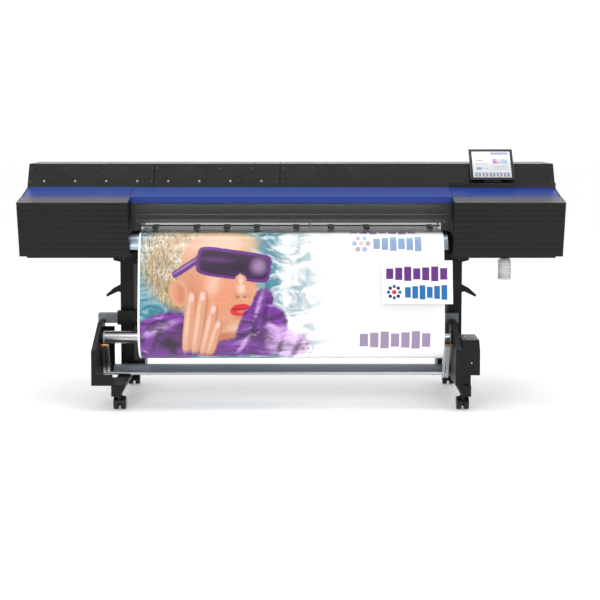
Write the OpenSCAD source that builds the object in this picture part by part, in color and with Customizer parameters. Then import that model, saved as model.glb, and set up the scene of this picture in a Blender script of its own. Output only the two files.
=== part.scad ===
// Wide-format printer cutter on its stand, with take-up unit, tablet and printed roll.
// Frame: +Z up, +X to the right seen from the front, -Y to the front.
// Origin: on the floor, under the middle of the feet.

/* [Overall] */
// Width over the two end covers
overall_w = 2886; // [2760:1:3500]
// Length of the feet, front to back
overall_d = 748; // [720:1:900]
// Floor to the top of the hood
overall_h = 1303; // [1240:1:1600]

/* [Body] */
// Clear width of the bay between the end covers
bay_w = 1720; // [1702:1:2070]
// Height of the ribbed front faces
face_h = 291; // [260:1:320]
// How far the ribbed faces lean back at the bottom
face_lean = 60; // [30:1:80]
// Depth of the grey cap over the ribbed face
cap_run = 116; // [90:1:140]
// Rise of the grey cap
cap_rise = 23; // [10:1:30]
// Depth of the blue slope
slope_run = 169; // [140:1:190]
// Rise of the blue slope
slope_rise = 43; // [30:1:60]
// Depth of the hood's steep face
hood_run = 65; // [40:1:90]
// Rise of the hood's steep face
hood_rise = 124; // [110:1:140]
// Depth of the hood's flat top
hood_top_d = 270; // [270:1:330]
// Wall of the plastic covers
skin = 4; // [3:0.5:6]
// Seam between neighbouring covers
seam = 2; // [1:0.5:4]
// Ribs on each front face
rib_count = 9; // [5:1:14]
// Depth of the ribs
rib_d = 4; // [2:0.5:6]
// Height of the stepped pan under each end cover
pan_h = 10; // [6:1:20]
// How far the pan is set in from the outer end
pan_inset = 35; // [20:1:60]

/* [Hood] */
// Left hood seam, from the middle
hood_seam_left = 751; // [600:1:850]
// Right hood seam, left of the middle
hood_seam_right = 61; // [0:1:200]
// Ledge under the tablet, above the deck line
ledge_h = 22; // [15:1:40]
// How far the ledge stands forward of the hood
ledge_d = 15; // [10:1:25]
// Ink lights and ink trays
ink_count = 8; // [4:1:8]
// Spacing of the ink lights and trays
ink_pitch = 170; // [150:1:170]
// Outermost ink light, from the end of the hood
ink_in = 90; // [83:1:110]
// Radius of an ink light
led_r = 6; // [4:0.5:9]
// Height of the ink lights above the deck line
led_up = 31; // [20:1:60]
// Width of an ink tray
tray_w = 140; // [100:1:145]
// Height of an ink tray
tray_h = 88; // [60:1:90]
// Length of an ink tray
tray_l = 240; // [180:1:250]
// Free space round an ink tray
tray_gap = 1; // [0.5:0.5:3]

/* [Front cover] */
// Drop of the blue lip over the window
lip_h = 32; // [24:1:40]
// Height of the window's lower edge over the platen
mouth_h = 10; // [8:1:20]
// How far the window's foot stands behind its head
window_rake = 22; // [10:1:28]
// Width of the frame at each side of the window
window_side = 27; // [20:1:40]
// Overlap of the cover on each end cover
cover_lap = 4; // [2:1:6]

/* [Print deck] */
// Platen above the underside of the body
platen_up = 118; // [110:1:125]
// Platen thickness
platen_t = 5; // [4:0.5:6]
// Front and rear edge of the platen, from the front
platen_y0 = 150; // [145:1:155]
platen_y1 = 480; // [475:1:490]
// Grit roller radius
grit_r = 12; // [10:0.5:14]
// Radius of the grit roller's ends
grit_end_r = 6; // [5:0.5:7]
// Roller line, from the front
roller_y = 300; // [295:1:305]
// Pinch wheel radius
pinch_r = 9; // [8:0.5:10]
// Pinch wheel width
pinch_w = 24; // [16:1:30]
// Pinch arm pivot, behind the roller line
pinch_back = 72; // [65:1:80]
// Radius of the pinch arm shaft
pinch_shaft_r = 5; // [4:0.5:6]
// Guide beam height
beam_h = 106; // [90:1:110]
// Guide beam depth
beam_d = 80; // [60:1:90]
// Guide beam's underside above the platen
beam_up = 35; // [34:1:40]
// Carriage width
carriage_w = 190; // [160:1:220]
// Carriage depth in front of the rollers
carriage_d = 102; // [90:1:104]
// Carriage centre when parked, outside the bay
park_out = 200; // [190:1:240]
// Radius of the belt pulleys
pulley_r = 14; // [10:0.5:16]
// Belt width
belt_w = 12; // [8:1:14]
// Belt thickness
belt_t = 1.5; // [1:0.5:2]

/* [Media] */
// Media width
media_w = 1625; // [1300:1:1630]
// Media thickness, as drawn
media_t = 0.8; // [0.5:0.1:1]
// Supply roll radius
supply_r = 75; // [50:1:78]
// Core inner radius
core_r = 38; // [36:1:40]

/* [Stand] */
// Leg width
leg_w = 134; // [120:1:150]
// Leg depth
leg_d = 120; // [100:1:130]
// How far the legs reach in past the end covers
leg_lap = 39; // [30:1:50]
// Leg front, from the front of the feet
leg_y = 400; // [390:1:410]
// Wall of the stand's steel
steel = 4; // [3:0.5:6]
// Foot width
foot_w = 75; // [70:1:90]
// Foot height
foot_h = 58; // [50:1:70]
// Caster wheel radius
wheel_r = 32; // [28:1:34]
// Width over a caster's two wheels
wheel_w = 63; // [55:1:66]
// Underside of the feet above the floor
foot_up = 81; // [80:1:90]
// Stem radius of a caster
stem_r = 6; // [5:0.5:8]

/* [Take-up] */
// Take-up tube outer radius
tube_r = 34; // [31:1:35]
// Take-up tube inner radius
tube_in_r = 25.4; // [24:0.1:27]
// Tube axis above the floor
tube_z = 368; // [365:1:372]
// Tube axis, from the front
tube_y = 180; // [178:1:182]
// Arm length, pivot to roller
arm_l = 180; // [175:1:182]
// Arm pivot above the floor
arm_z = 156; // [155:1:158]
// Arm pivot, from the front
arm_y = 245; // [243:1:247]
// Module of the take-up gears
gear_m = 2; // [1.5:0.1:2]
// Teeth of the take-up gear
gear_teeth = 26; // [22:1:26]
// Teeth of the motor pinion
pinion_teeth = 13; // [12:1:14]

/* [Tablet] */
// Tablet width
tablet_w = 240; // [200:1:280]
// Tablet height
tablet_h = 198; // [150:1:220]
// Tablet thickness
tablet_t = 9; // [7:0.5:10]
// Lean of the tablet from the vertical, degrees
tablet_lean = 35; // [33:1:37]
// Tablet centre, outside the bay
tablet_out = 240; // [140:1:390]

/* [Fits] */
// Radial running clearance of shafts
run = 0.05; // [0.02:0.01:0.1]
// Free space between pieces that move past each other
free = 0.5; // [0.4:0.1:1]

/* [Hidden] */
$fn = 48;

// Heights of the body's profile
deck_z = overall_h - hood_rise;
cap_z = deck_z - slope_rise;
face_z = cap_z - cap_rise;
base_z = face_z - face_h;
platen_z = base_z + platen_up;
// Depths are measured back from the front face
function fy(d) = d - overall_d / 2;
cap_y = fy(cap_run);
deck_y = fy(cap_run + slope_run);
hood_y = deck_y + hood_run;
back_y = hood_y + hood_top_d;
// Half widths
x_end = overall_w / 2;
x_bay = bay_w / 2;
platen_w = bay_w - 76;
carriage_park = x_bay + park_out;
tablet_x = x_bay + tablet_out;
ink_first = x_end - ink_in;
leg_in = x_bay - leg_lap;
leg_out = leg_in + leg_w;
foot_top = foot_up + foot_h;

// ---- Helpers ----
// A box between two corners
module block(a, b) {
    translate([min(a.x, b.x), min(a.y, b.y), min(a.z, b.z)])
        cube([abs(b.x - a.x), abs(b.y - a.y), abs(b.z - a.z)]);
}
// An outline of [y, z] points drawn out along X
module along_x(x0, x1, outline) {
    translate([min(x0, x1), 0, 0])
        rotate([90, 0, 90])
            linear_extrude(abs(x1 - x0))
                polygon(outline);
}
// A round bar along X
module bar(x0, x1, y, z, r) {
    translate([min(x0, x1), y, z])
        rotate([0, 90, 0])
            cylinder(h = abs(x1 - x0), r = r);
}
// A round bar along Z
module post(x, y, z0, z1, r) {
    translate([x, y, z0])
        cylinder(h = z1 - z0, r = r);
}
// Anything drawn for the right-hand side, also placed on the left
module both_sides() {
    children();
    mirror([1, 0, 0]) children();
}
// Height of the blue slope's top at a depth
function slope_z(y) = cap_z + slope_rise * (y - cap_y) / slope_run;

// ---- Stand ----
leg_y0 = fy(leg_y);
leg_y1 = leg_y0 + leg_d;
flange_t = 8;
bracket_t = 15;
bracket_h = 77;
module leg() {
    difference() {
        union() {
            block([leg_in, leg_y0, foot_top], [leg_out, leg_y1, base_z]);
            // Front bracket that carries the printer
            block([leg_in + 3, leg_y0 - bracket_t, base_z - bracket_h],
                  [leg_in + 58, leg_y0, base_z]);
        }
        block([leg_in + steel, leg_y0 + steel, foot_top + flange_t],
              [leg_out - steel, leg_y1 - steel, base_z - flange_t]);
        leg_holes();
    }
}
// Tapped holes for an accessory on each leg's outer side
dryer_hole_r = 2.5;
dryer_pitch_y = 60;
dryer_pitch_z = 100;
dryer_z = 340;
module leg_holes() {
    for (dy = [-1, 1])
        for (dz = [-1, 1])
            bar(leg_out - steel - 2, leg_out + 1, leg_y0 + leg_d / 2 + dy * dryer_pitch_y / 2,
                foot_top + dryer_z + dz * dryer_pitch_z / 2, dryer_hole_r);
}
module leg_left() { color("#1d1b1a") mirror([1, 0, 0]) leg(); }
module leg_right() { color("#1d1b1a") leg(); }

caster_x = leg_out - foot_w / 2;
caster_inset = 45;
end_block = 110;
function caster_y(back) = back ? overall_d / 2 - caster_inset : -overall_d / 2 + caster_inset;
foot_slope = 26;
module foot() {
    difference() {
        translate([0, overall_d / 2, 0])
            rotate([90, 0, 0])
                linear_extrude(overall_d)
                    polygon([[leg_out - foot_w + foot_slope, foot_up], [leg_out, foot_up],
                             [leg_out, foot_top], [leg_out - foot_w, foot_top]]);
        block([caster_x - 14, -overall_d / 2 + end_block, foot_up - 1],
              [leg_out - steel, overall_d / 2 - end_block, foot_top - 2 * steel]);
        for (back = [false, true])
            post(caster_x, caster_y(back), foot_up - 1, foot_up + 31, stem_r + run);
    }
}
module foot_left() { color("#1b1918") mirror([1, 0, 0]) foot(); }
module foot_right() { color("#1b1918") foot(); }

stretcher_y0 = fy(276);
stretcher_d = 54;
stretcher_h = 52;
stretcher_over = 25;
module stretcher_beam() {
    color("#6c6f72")
        difference() {
            block([-leg_out - stretcher_over, stretcher_y0, foot_top],
                  [leg_out - 40, stretcher_y0 + stretcher_d, foot_top + stretcher_h]);
            block([-leg_out - stretcher_over - 1, stretcher_y0 + steel, foot_top + steel],
                  [leg_out, stretcher_y0 + stretcher_d - steel, foot_top + stretcher_h - steel]);
        }
    color("#6c6f72")
        block([leg_out - 40, stretcher_y0, foot_top],
              [leg_out - 30, stretcher_y0 + stretcher_d, foot_top + stretcher_h]);
}

// Gusset hooks on the legs' outer sides
hook_t = 8;
hook_y = leg_y0 + 60;
module wing_hooks() {
    color("#77797b")
        both_sides()
            translate([0, hook_y + hook_t, 0])
                rotate([90, 0, 0]) {
                    linear_extrude(hook_t)
                        polygon([[leg_out, base_z - 200], [leg_out, base_z - 250],
                                 [leg_out + 22, base_z - 246], [leg_out + 86, base_z - 276],
                                 [leg_out + 90, base_z - 264], [leg_out + 48, base_z - 226]]);
                    linear_extrude(hook_t)
                        polygon([[leg_out, base_z - 34], [leg_out, base_z - 80],
                                 [leg_out + 46, base_z - 68], [leg_out + 48, base_z - 58]]);
                }
}

// Bolt heads on the stand and screws on the covers
bolt_r = 6.5;
bolt_h = 6;
screw_r = 4;
screw_h = 2.5;
bolt_from_end = 104;
module fasteners() {
    color("#141313")
        both_sides() {
            // Two bolts through the foot of each leg
            for (dy = [-12, 12])
                post(leg_out - foot_w + 9 + bolt_r, leg_y0 - 20 + dy, foot_top, foot_top + bolt_h, bolt_r);
            // Bolts under the cross beam
            post(leg_in - bolt_from_end + 70, stretcher_y0 + stretcher_d / 2, foot_top - bolt_h,
                 foot_top, bolt_r);
            // Screws in the front brackets
            for (dz = [18, 56])
                translate([leg_in + 30, leg_y0 - bracket_t, base_z - dz])
                    rotate([90, 0, 0])
                        cylinder(h = screw_h, r = screw_r);
            // Screws in the covers' outer ends
            for (y = [cap_y, deck_y, back_y - 60])
                bar(x_end, x_end + screw_h, y, base_z + 60, screw_r);
        }
}

// ---- Casters ----
wheel_gap = 8;
axle_r = 5;
hood_clear = 2;
hood_wall = 3;
trail = 20;
plate_t = 8;
fork_top = foot_up - 3;
module caster_fork(side, back) {
    y0 = caster_y(back);
    y_axle = y0 + trail * (back ? -1 : 1);
    x0 = side * caster_x;
    color("#151414")
        difference() {
            union() {
                bar(x0 - wheel_gap + free, x0 + wheel_gap - free, y_axle, wheel_r, 16);
                block([x0 - wheel_gap + free, min(y0, y_axle) - 8, wheel_r],
                      [x0 + wheel_gap - free, max(y0, y_axle) + 8, fork_top - plate_t]);
                difference() {
                    bar(x0 - wheel_w / 2, x0 + wheel_w / 2, y_axle, wheel_r,
                        wheel_r + hood_clear + hood_wall);
                    bar(x0 - wheel_w / 2 - 1, x0 + wheel_w / 2 + 1, y_axle, wheel_r,
                        wheel_r + hood_clear);
                    block([x0 - wheel_w, y_axle - 60, -60], [x0 + wheel_w, y_axle + 60, wheel_r + 8]);
                }
                post(x0, y0, fork_top - plate_t, fork_top, 20);
                post(x0, y0, fork_top - 1, foot_up + 26, stem_r);
            }
            bar(x0 - wheel_w, x0 + wheel_w, y_axle, wheel_r, axle_r + run);
        }
}
module caster_wheels(side, back) {
    y_axle = caster_y(back) + trail * (back ? -1 : 1);
    x0 = side * caster_x;
    color("#1a1a1a") {
        for (s = [-1, 1])
            difference() {
                bar(x0 + s * wheel_gap, x0 + s * wheel_w / 2, y_axle, wheel_r, wheel_r);
                bar(x0 + s * (wheel_w / 2 - 4), x0 + s * (wheel_w / 2 + 1), y_axle, wheel_r, wheel_r - 8);
            }
        bar(x0 - wheel_w / 2 + 3, x0 + wheel_w / 2 - 3, y_axle, wheel_r, axle_r);
    }
}
module caster_fork_fl() { caster_fork(-1, false); }
module caster_fork_fr() { caster_fork(1, false); }
module caster_fork_rl() { caster_fork(-1, true); }
module caster_fork_rr() { caster_fork(1, true); }
module caster_wheels_fl() { caster_wheels(-1, false); }
module caster_wheels_fr() { caster_wheels(1, false); }
module caster_wheels_rl() { caster_wheels(-1, true); }
module caster_wheels_rr() { caster_wheels(1, true); }

// ---- Take-up unit ----
frame_front = [0, 323];
frame_top = [250, 438];
frame_depth = 344;
floor_depth = 190;
frame_right_x = leg_out - 83;
frame_right_w = 38;
frame_left_x = leg_out + 79;
frame_left_w = 26;
frame_wall = 3;
tray_t = 6;
skirt_h = 60;
take_y = fy(tube_y);
pivot_y = fy(arm_y);
frame_outline = [
    [fy(0), foot_top], [fy(0), frame_front.y], [fy(frame_top.x), frame_top.y],
    [fy(frame_depth), frame_top.y], [fy(frame_depth), foot_top]
];
module side_frame(x0, w) {
    difference() {
        along_x(x0, x0 + w, frame_outline);
        along_x(x0 + frame_wall, x0 + w - frame_wall, [
            [fy(frame_wall), foot_top - 1], [fy(frame_wall), frame_front.y - 2],
            [fy(frame_top.x) + 1, frame_top.y - frame_wall - 1],
            [fy(frame_depth - frame_wall), frame_top.y - frame_wall - 1],
            [fy(frame_depth - frame_wall), foot_top - 1]
        ]);
    }
}
plug_l = 45;
module take_up_frames() {
    color("#232324") {
        // Left: side box, floor, front skirt, and the plug that the tube turns on
        difference() {
            union() {
                side_frame(-frame_left_x - frame_left_w, frame_left_w);
                block([-frame_left_x, fy(0), foot_top], [-leg_out + foot_w, fy(floor_depth), foot_top + tray_t]);
                block([-frame_left_x, fy(0), foot_top], [-leg_out + 8, fy(frame_wall), foot_top + skirt_h]);
                block([-frame_left_x, fy(frame_depth - frame_wall), foot_top],
                      [-leg_out - stretcher_over - 1, fy(frame_depth), rail_z0 - 16]);
                bar(-frame_left_x - frame_wall, tube_left_x + plug_l, take_y, tube_z, tube_in_r - run);
            }
            bar(-frame_left_x - frame_left_w / 2, -frame_left_x + 1, pivot_y, arm_z, arm_shaft_r + run);
        }
        // Right: side box over the drive
        difference() {
            side_frame(frame_right_x, frame_right_w);
            block([frame_right_x - 1, stretcher_y0 - free, foot_top - 1],
                  [frame_right_x + frame_right_w + 1, stretcher_y0 + stretcher_d + free,
                   foot_top + stretcher_h + free]);
            bar(frame_right_x - 1, frame_right_x + frame_wall + 1, take_y, tube_z, chuck_shaft_r + run);
            bar(frame_right_x - 1, frame_right_x + frame_wall + 1, pivot_y, arm_z, arm_shaft_r + run);
            bar(frame_right_x + frame_wall + 1, frame_right_x + frame_right_w + 1, take_y, pinion_z,
                motor_shaft_r + 4);
        }
        // Stay under the drive case
        along_x(frame_right_x + frame_right_w, frame_right_x + frame_right_w + 45,
                [[fy(20), foot_top], [fy(20), case_z0], [fy(24), case_z0], [fy(90), foot_top]]);
    }
}

rail_y0 = fy(345);
rail_d = 50;
rail_z0 = 416;
rail_z1 = 470;
rail_left = leg_out + 118;
rail_right = leg_out - 24;
module take_up_rail() {
    color("#8d9399")
        difference() {
            block([-rail_left, rail_y0, rail_z0], [rail_right, rail_y0 + rail_d, rail_z1]);
            block([-rail_left - 1, rail_y0 + steel, rail_z0 + steel],
                  [rail_right + 1, rail_y0 + rail_d - steel, rail_z1 - steel]);
        }
    color("#8d9399")
        both_sides()
            block([leg_in + 10, rail_y0 + rail_d, rail_z0 + 5], [leg_out - 30, leg_y0, rail_z1 - 5]);
}

slider_wall = 7.5;
slider_x0 = -leg_out - 10;
slider_x1 = -leg_out + 107;
slider_back = 3;
module rail_slider() {
    color("#151515")
        difference() {
            union() {
                block([slider_x0, rail_y0 - slider_wall - 1, rail_z0 - slider_wall],
                      [slider_x1, rail_y0 + rail_d - slider_back - 10, rail_z1 + 2 * slider_wall]);
                // Thumb screw
                translate([(slider_x0 + slider_x1) / 2, rail_y0 - slider_wall, rail_z0 + rail_d / 2])
                    rotate([90, 0, 0])
                        cylinder(h = 18, r = 11);
            }
            block([slider_x0 - 1, rail_y0 - free, rail_z0 - free],
                  [slider_x1 + 1, rail_y0 + rail_d + 1, rail_z1 + free]);
        }
}

tube_left_x = -frame_left_x + 16;
tube_right_x = frame_right_x - 6;
module take_up_tube() {
    color("#e9e9ea")
        difference() {
            bar(tube_left_x, tube_right_x, take_y, tube_z, tube_r);
            bar(tube_left_x - 1, tube_right_x + 1, take_y, tube_z, tube_in_r);
        }
}

// A spur gear: straight-flanked teeth, drawn out along +Z
module spur(teeth, width, phase) {
    pitch = gear_m * teeth / 2;
    root = pitch - 1.25 * gear_m;
    tip = pitch + 0.85 * gear_m;
    step = 360 / teeth;
    linear_extrude(width)
        polygon([for (i = [0 : teeth - 1])
            for (p = [[root, -0.27], [tip, -0.11], [tip, 0.11], [root, 0.27]])
                let (a = phase + (i + p.y) * step) [p.x * cos(a), p.x * sin(a)]]);
}
chuck_shaft_r = 10;
chuck_r = 24;
gear_w = 14;
gear_x = frame_right_x + 10;
gear_centres = gear_m * (gear_teeth + pinion_teeth) / 2 + 0.2;
pinion_z = tube_z - gear_centres;
motor_shaft_r = 4;
module drive_gear() {
    color("#3a3a3c")
        difference() {
            union() {
                bar(tube_right_x - plug_l, tube_right_x, take_y, tube_z, tube_in_r - 0.2);
                bar(tube_right_x, tube_right_x + 4, take_y, tube_z, tube_r + 4);
                bar(tube_right_x + 3, gear_x + gear_w, take_y, tube_z, chuck_shaft_r);
                translate([gear_x, take_y, tube_z])
                    rotate([90, 0, 90])
                        spur(gear_teeth, gear_w, -90);
            }
            bar(tube_right_x - plug_l - 1, tube_right_x - 8, take_y, tube_z, chuck_r - 8);
        }
}
module motor_pinion() {
    color("#b08d4a")
        difference() {
            translate([gear_x, take_y, pinion_z])
                rotate([90, 0, 90])
                    spur(pinion_teeth, gear_w, 90 + 180 / pinion_teeth);
            bar(gear_x - 1, gear_x + gear_w + 1, take_y, pinion_z, motor_shaft_r + run);
        }
}
motor_r = 24;
motor_l = 70;
case_x0 = frame_right_x + frame_right_w;
case_x1 = leg_out + 46;
module take_up_motor() {
    color("#9a9da0") {
        bar(case_x0 + 4, case_x0 + 4 + motor_l, take_y, pinion_z, motor_r);
        bar(gear_x - 1, case_x0 + 4, take_y, pinion_z, motor_shaft_r);
    }
}
case_z0 = 195;
case_z1 = 378;
case_depth = 212;
case_step = 38;
case_wall = 3;
switch_y = fy(110);
switch_x1 = case_x0 + 26;
switch_x2 = case_x0 + 60;
switch_w = 18;
switch_l = 26;
module drive_case() {
    color("#242426")
        difference() {
            along_x(case_x0, case_x1, [
                [fy(2), case_z0], [fy(2), frame_front.y], [fy(case_step), case_z1],
                [fy(case_depth), case_z1], [fy(case_depth), case_z0]
            ]);
            along_x(case_x0 + 1, case_x1 - case_wall, [
                [fy(2 + case_wall), case_z0 + case_wall], [fy(2 + case_wall), frame_front.y - 2],
                [fy(case_step + case_wall), case_z1 - case_wall],
                [fy(case_depth - case_wall), case_z1 - case_wall],
                [fy(case_depth - case_wall), case_z0 + case_wall]
            ]);
            bar(case_x0 - 1, case_x0 + 5, take_y, pinion_z, motor_r + 1);
            for (x = [switch_x1, switch_x2])
                block([x - switch_w / 2, switch_y - switch_l / 2, case_z1 - 2 * case_wall],
                      [x + switch_w / 2, switch_y + switch_l / 2, case_z1 + 1]);
        }
}
// A rocker that tips about X in its slot
rocker_gap = 1.5;
module rocker(x) {
    along_x(x - switch_w / 2 + free, x + switch_w / 2 - free, [
        [switch_y - switch_l / 2 + rocker_gap, case_z1 - 1], [switch_y - switch_l / 2 + rocker_gap, case_z1 + 4],
        [switch_y, case_z1 + 2], [switch_y + switch_l / 2 - rocker_gap, case_z1 + 4],
        [switch_y + switch_l / 2 - rocker_gap, case_z1 - 1], [switch_y + 3, case_z1 - 8],
        [switch_y - 3, case_z1 - 8]
    ]);
}
module direction_switch() { color("#c9cacc") rocker(switch_x1); }
module mode_switch() { color("#c9cacc") rocker(switch_x2); }

// Two welded arms on one cross shaft, each a pair of plates
arm_shaft_r = 10;
arm_w = 24;
arm_plate = 15;
arm_tail = 24;
arm_left_x = [-frame_left_x + 4, -frame_left_x + 28];
arm_right_x = [frame_right_x - 44, frame_right_x - 24];
roller_r = 10;
roller_y0 = take_y - 14;
roller_z0 = tube_z - sqrt(pow(tube_r + roller_r + 0.6, 2) - pow(14, 2));
arm_dir = atan2(roller_z0 - arm_z, roller_y0 - pivot_y);
arm_reach = norm([roller_y0 - pivot_y, roller_z0 - arm_z]);
module arm_plate_at(x) {
    translate([x, pivot_y, arm_z])
        rotate([arm_dir, 0, 0]) {
            block([0, -arm_tail, -arm_w / 2], [arm_plate, arm_reach, arm_w / 2]);
            rotate([0, 90, 0]) cylinder(h = arm_plate, r = 16);
        }
}
module swing_arms() {
    color("#b9bbb8")
        difference() {
            union() {
                for (x = concat(arm_left_x, arm_right_x))
                    arm_plate_at(x);
                for (x = [arm_left_x[0] + arm_plate, arm_right_x[0] + arm_plate])
                    bar(x - 1, x + 10, pivot_y, arm_z, 15);
                bar(-frame_left_x - 8, frame_right_x + frame_wall + 4, pivot_y, arm_z, arm_shaft_r);
            }
            for (x = [arm_left_x, arm_right_x])
                bar(x[0] - 1, x[1] + arm_plate + 1, roller_y0, roller_z0, roller_r);
        }
}
// Bronze rollers in the arms' cradles, under the tube
module arm_bearings() {
    color("#a87b3f")
        for (x = [arm_left_x, arm_right_x])
            bar(x[0], x[1] + arm_plate, roller_y0, roller_z0, roller_r - run);
}

// ---- Base frame and guide beam ----
frame_y0 = fy(180);
frame_y1 = fy(470);
frame_z1 = base_z + 83;
x_plate = x_end - 57;
plate_w = 6;
roller_line = fy(roller_y);
grit_z = platen_z - grit_r + 0.2;
beam_y0 = fy(roller_y + 50);
beam_z0 = platen_z + beam_up;
beam_z1 = beam_z0 + beam_h;
post_z1 = platen_z - platen_t;
block_x = platen_w / 2 + 8;
cap_pin_x = [carriage_park - 50, carriage_park + 50];
cap_y0 = fy(195);
cap_d = 80;
cap_pin_y = cap_y0 + cap_d / 2;
cap_pin_r = 5;
module base_frame() {
    color("#3c3e40")
        difference() {
            union() {
                block([-leg_out, frame_y0, base_z], [leg_out, frame_y1, frame_z1]);
                block([-x_plate, frame_y0, base_z + skin + free], [x_plate, frame_y1, frame_z1]);
                both_sides() {
                    // End plates that carry the guide beam
                    block([x_plate - plate_w, frame_y0 + 40, frame_z1 - 1], [x_plate, frame_y1, beam_z1]);
                    // Bearing blocks of the grit roller
                    block([block_x, roller_line - 12, frame_z1 - 1], [block_x + 14, roller_line + 12, grit_z + 10]);
                }
                // Rails under the platen
                for (y = [frame_y0 + 10, frame_y1 - 30])
                    block([-platen_w / 2 + 4, y, frame_z1 - 1], [platen_w / 2 - 4, y + 8, post_z1]);
                // Struts that carry the apron
                for (x = [-600, 0, 600])
                    block([x - 15, fy(120), base_z + 10], [x + 15, frame_y0 + 1, base_z + 30]);
                for (x = cap_pin_x)
                    post(x, cap_pin_y, frame_z1 - 1, frame_z1 + 20, cap_pin_r);
            }
            block([-x_plate - 1, frame_y0 + steel, base_z + 2 * steel],
                  [x_plate + 1, frame_y1 - steel, frame_z1 - steel]);
            bar(-x_end, x_end, roller_line, grit_z, grit_end_r + run);
        }
}

rail_clear = 0.3;
car_rail_z = beam_z0 + 35;
car_rail_h = 16;
car_rail_d = 10;
pivot_z = platen_z + 18;
pinch_pivot_y = roller_line + pinch_back;
belt_y = beam_y0 + 42;
belt_z = beam_z1 + 9;
pulley_x = x_end - 103;
pin_r = 4;
lug_x = [-block_x + 10, 100, block_x - 22];
module guide_beam() {
    color("#b4b8ba") {
        difference() {
            block([-x_plate + plate_w, beam_y0, beam_z0], [x_plate - plate_w, beam_y0 + beam_d, beam_z1]);
            block([-x_end, beam_y0 + steel, beam_z0 + steel], [x_end, beam_y0 + beam_d - steel, beam_z1 - steel]);
        }
        // Rail that the carriage runs on
        block([-x_plate + plate_w + 20, beam_y0 - car_rail_d, car_rail_z],
              [x_plate - plate_w - 20, beam_y0, car_rail_z + car_rail_h]);
        // Pins of the belt pulleys
        for (s = [-1, 1])
            post(s * pulley_x, belt_y, beam_z1 - 1, belt_z + belt_w + 6, pin_r);
        // Lugs that carry the pinch shaft
        difference() {
            for (x = lug_x)
                block([x, pinch_pivot_y - 8, pivot_z - 7.5], [x + 8, pinch_pivot_y + 8, beam_z0 + 1]);
            bar(-x_end, x_end, pinch_pivot_y, pivot_z, pinch_shaft_r + run);
        }
    }
}

// ---- Platen, rollers and apron ----
module platen() {
    color("#4a4c4e")
        difference() {
            block([-platen_w / 2, fy(platen_y0), post_z1], [platen_w / 2, fy(platen_y1), platen_z]);
            block([-platen_w / 2 + 22, roller_line - grit_r - 2, post_z1 - 1],
                  [platen_w / 2 - 22, roller_line + grit_r + 2, platen_z + 1]);
            // Cutter groove
            block([-platen_w / 2 + 10, fy(226), platen_z - 1.5], [platen_w / 2 - 10, fy(234), platen_z + 1]);
        }
}
module grit_roller() {
    color("#9fa3a6") {
        bar(-platen_w / 2 + 27, platen_w / 2 - 27, roller_line, grit_z, grit_r - 0.5);
        bar(-block_x - 14, block_x + 14, roller_line, grit_z, grit_end_r);
    }
}
apron_t = 2.5;
apron_drop = 88;
apron_run = 82;
apron_left = x_bay - 1;
apron_right = x_bay - 25;
// Quarter-ellipse from the platen's edge down to the apron's lower edge
function apron_point(a, grow) = [fy(platen_y0) - (apron_run + grow) * sin(a),
                                 platen_z - apron_drop - 10 + (apron_drop + 10 + grow) * cos(a)];
function apron_arc(grow) = [for (a = [0 : 9 : 81]) apron_point(a, grow)];
module apron() {
    color("#7f8d9b")
        along_x(-apron_left, apron_right,
                concat(apron_arc(0), [for (i = [len(apron_arc(0)) - 1 : -1 : 0]) apron_arc(-apron_t)[i]]));
    // Ribs that tie the apron to the frame's struts
    color("#7f8d9b")
        for (x = [-600, 0, 600])
            block([x - 12, fy(72.5), base_z + 30], [x + 12, fy(150), base_z + 36]);
}

// ---- Pinch rollers and loading lever ----
pinch_x = [-747, -520, -354, -189, 28, 219, 414, 763];
pinch_z = platen_z + 1.6 + pinch_r;
cheek_t = 4;
pinch_pin_r = 2.5;
cheek_h = 7;
lever_x = block_x + 2;
lever_w = 12;
module pinch_arms() {
    color("#2a2b2c")
        difference() {
            union() {
                for (x = pinch_x) {
                    bar(x - pinch_w / 2 - 5, x + pinch_w / 2 + 5, pinch_pivot_y, pivot_z, pinch_shaft_r + 3.5);
                    for (s = [-1, 1])
                        along_x(x + s * (pinch_w / 2 + 1), x + s * (pinch_w / 2 + 1 + cheek_t), [
                            [roller_line - 6, pinch_z - 4], [roller_line - 6, pinch_z + cheek_h],
                            [pinch_pivot_y, pivot_z + cheek_h], [pinch_pivot_y, pivot_z - cheek_h]
                        ]);
                    along_x(x - pinch_w / 2 - 2, x + pinch_w / 2 + 2, [
                        [roller_line + pinch_r + 3, pinch_z + 1], [roller_line + pinch_r + 3, pinch_z + cheek_h],
                        [pinch_pivot_y, pivot_z + cheek_h], [pinch_pivot_y, pivot_z]
                    ]);
                }
                bar(-lever_x - lever_w - 4, block_x - 4, pinch_pivot_y, pivot_z, pinch_shaft_r);
            }
            for (x = pinch_x)
                bar(x - pinch_w, x + pinch_w, roller_line, pinch_z, pinch_pin_r + run);
        }
}
module pinch_wheels() {
    color("#3a3532")
        for (x = pinch_x) {
            bar(x - pinch_w / 2, x + pinch_w / 2, roller_line, pinch_z, pinch_r);
            bar(x - pinch_w / 2 - 5, x + pinch_w / 2 + 5, roller_line, pinch_z, pinch_pin_r);
        }
}
lever_reach = back_y + 24 - pinch_pivot_y;
module loading_lever() {
    color("#2c4f9e")
        difference() {
            union() {
                bar(-lever_x - lever_w, -lever_x, pinch_pivot_y, pivot_z, pinch_shaft_r + 6);
                block([-lever_x - lever_w, pinch_pivot_y, pivot_z - 6],
                      [-lever_x, pinch_pivot_y + lever_reach, pivot_z + 6]);
                bar(-lever_x - lever_w - 4, -lever_x + 4, pinch_pivot_y + lever_reach, pivot_z, 11);
            }
            bar(-x_end, 0, pinch_pivot_y, pivot_z, pinch_shaft_r + run);
        }
}

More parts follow.
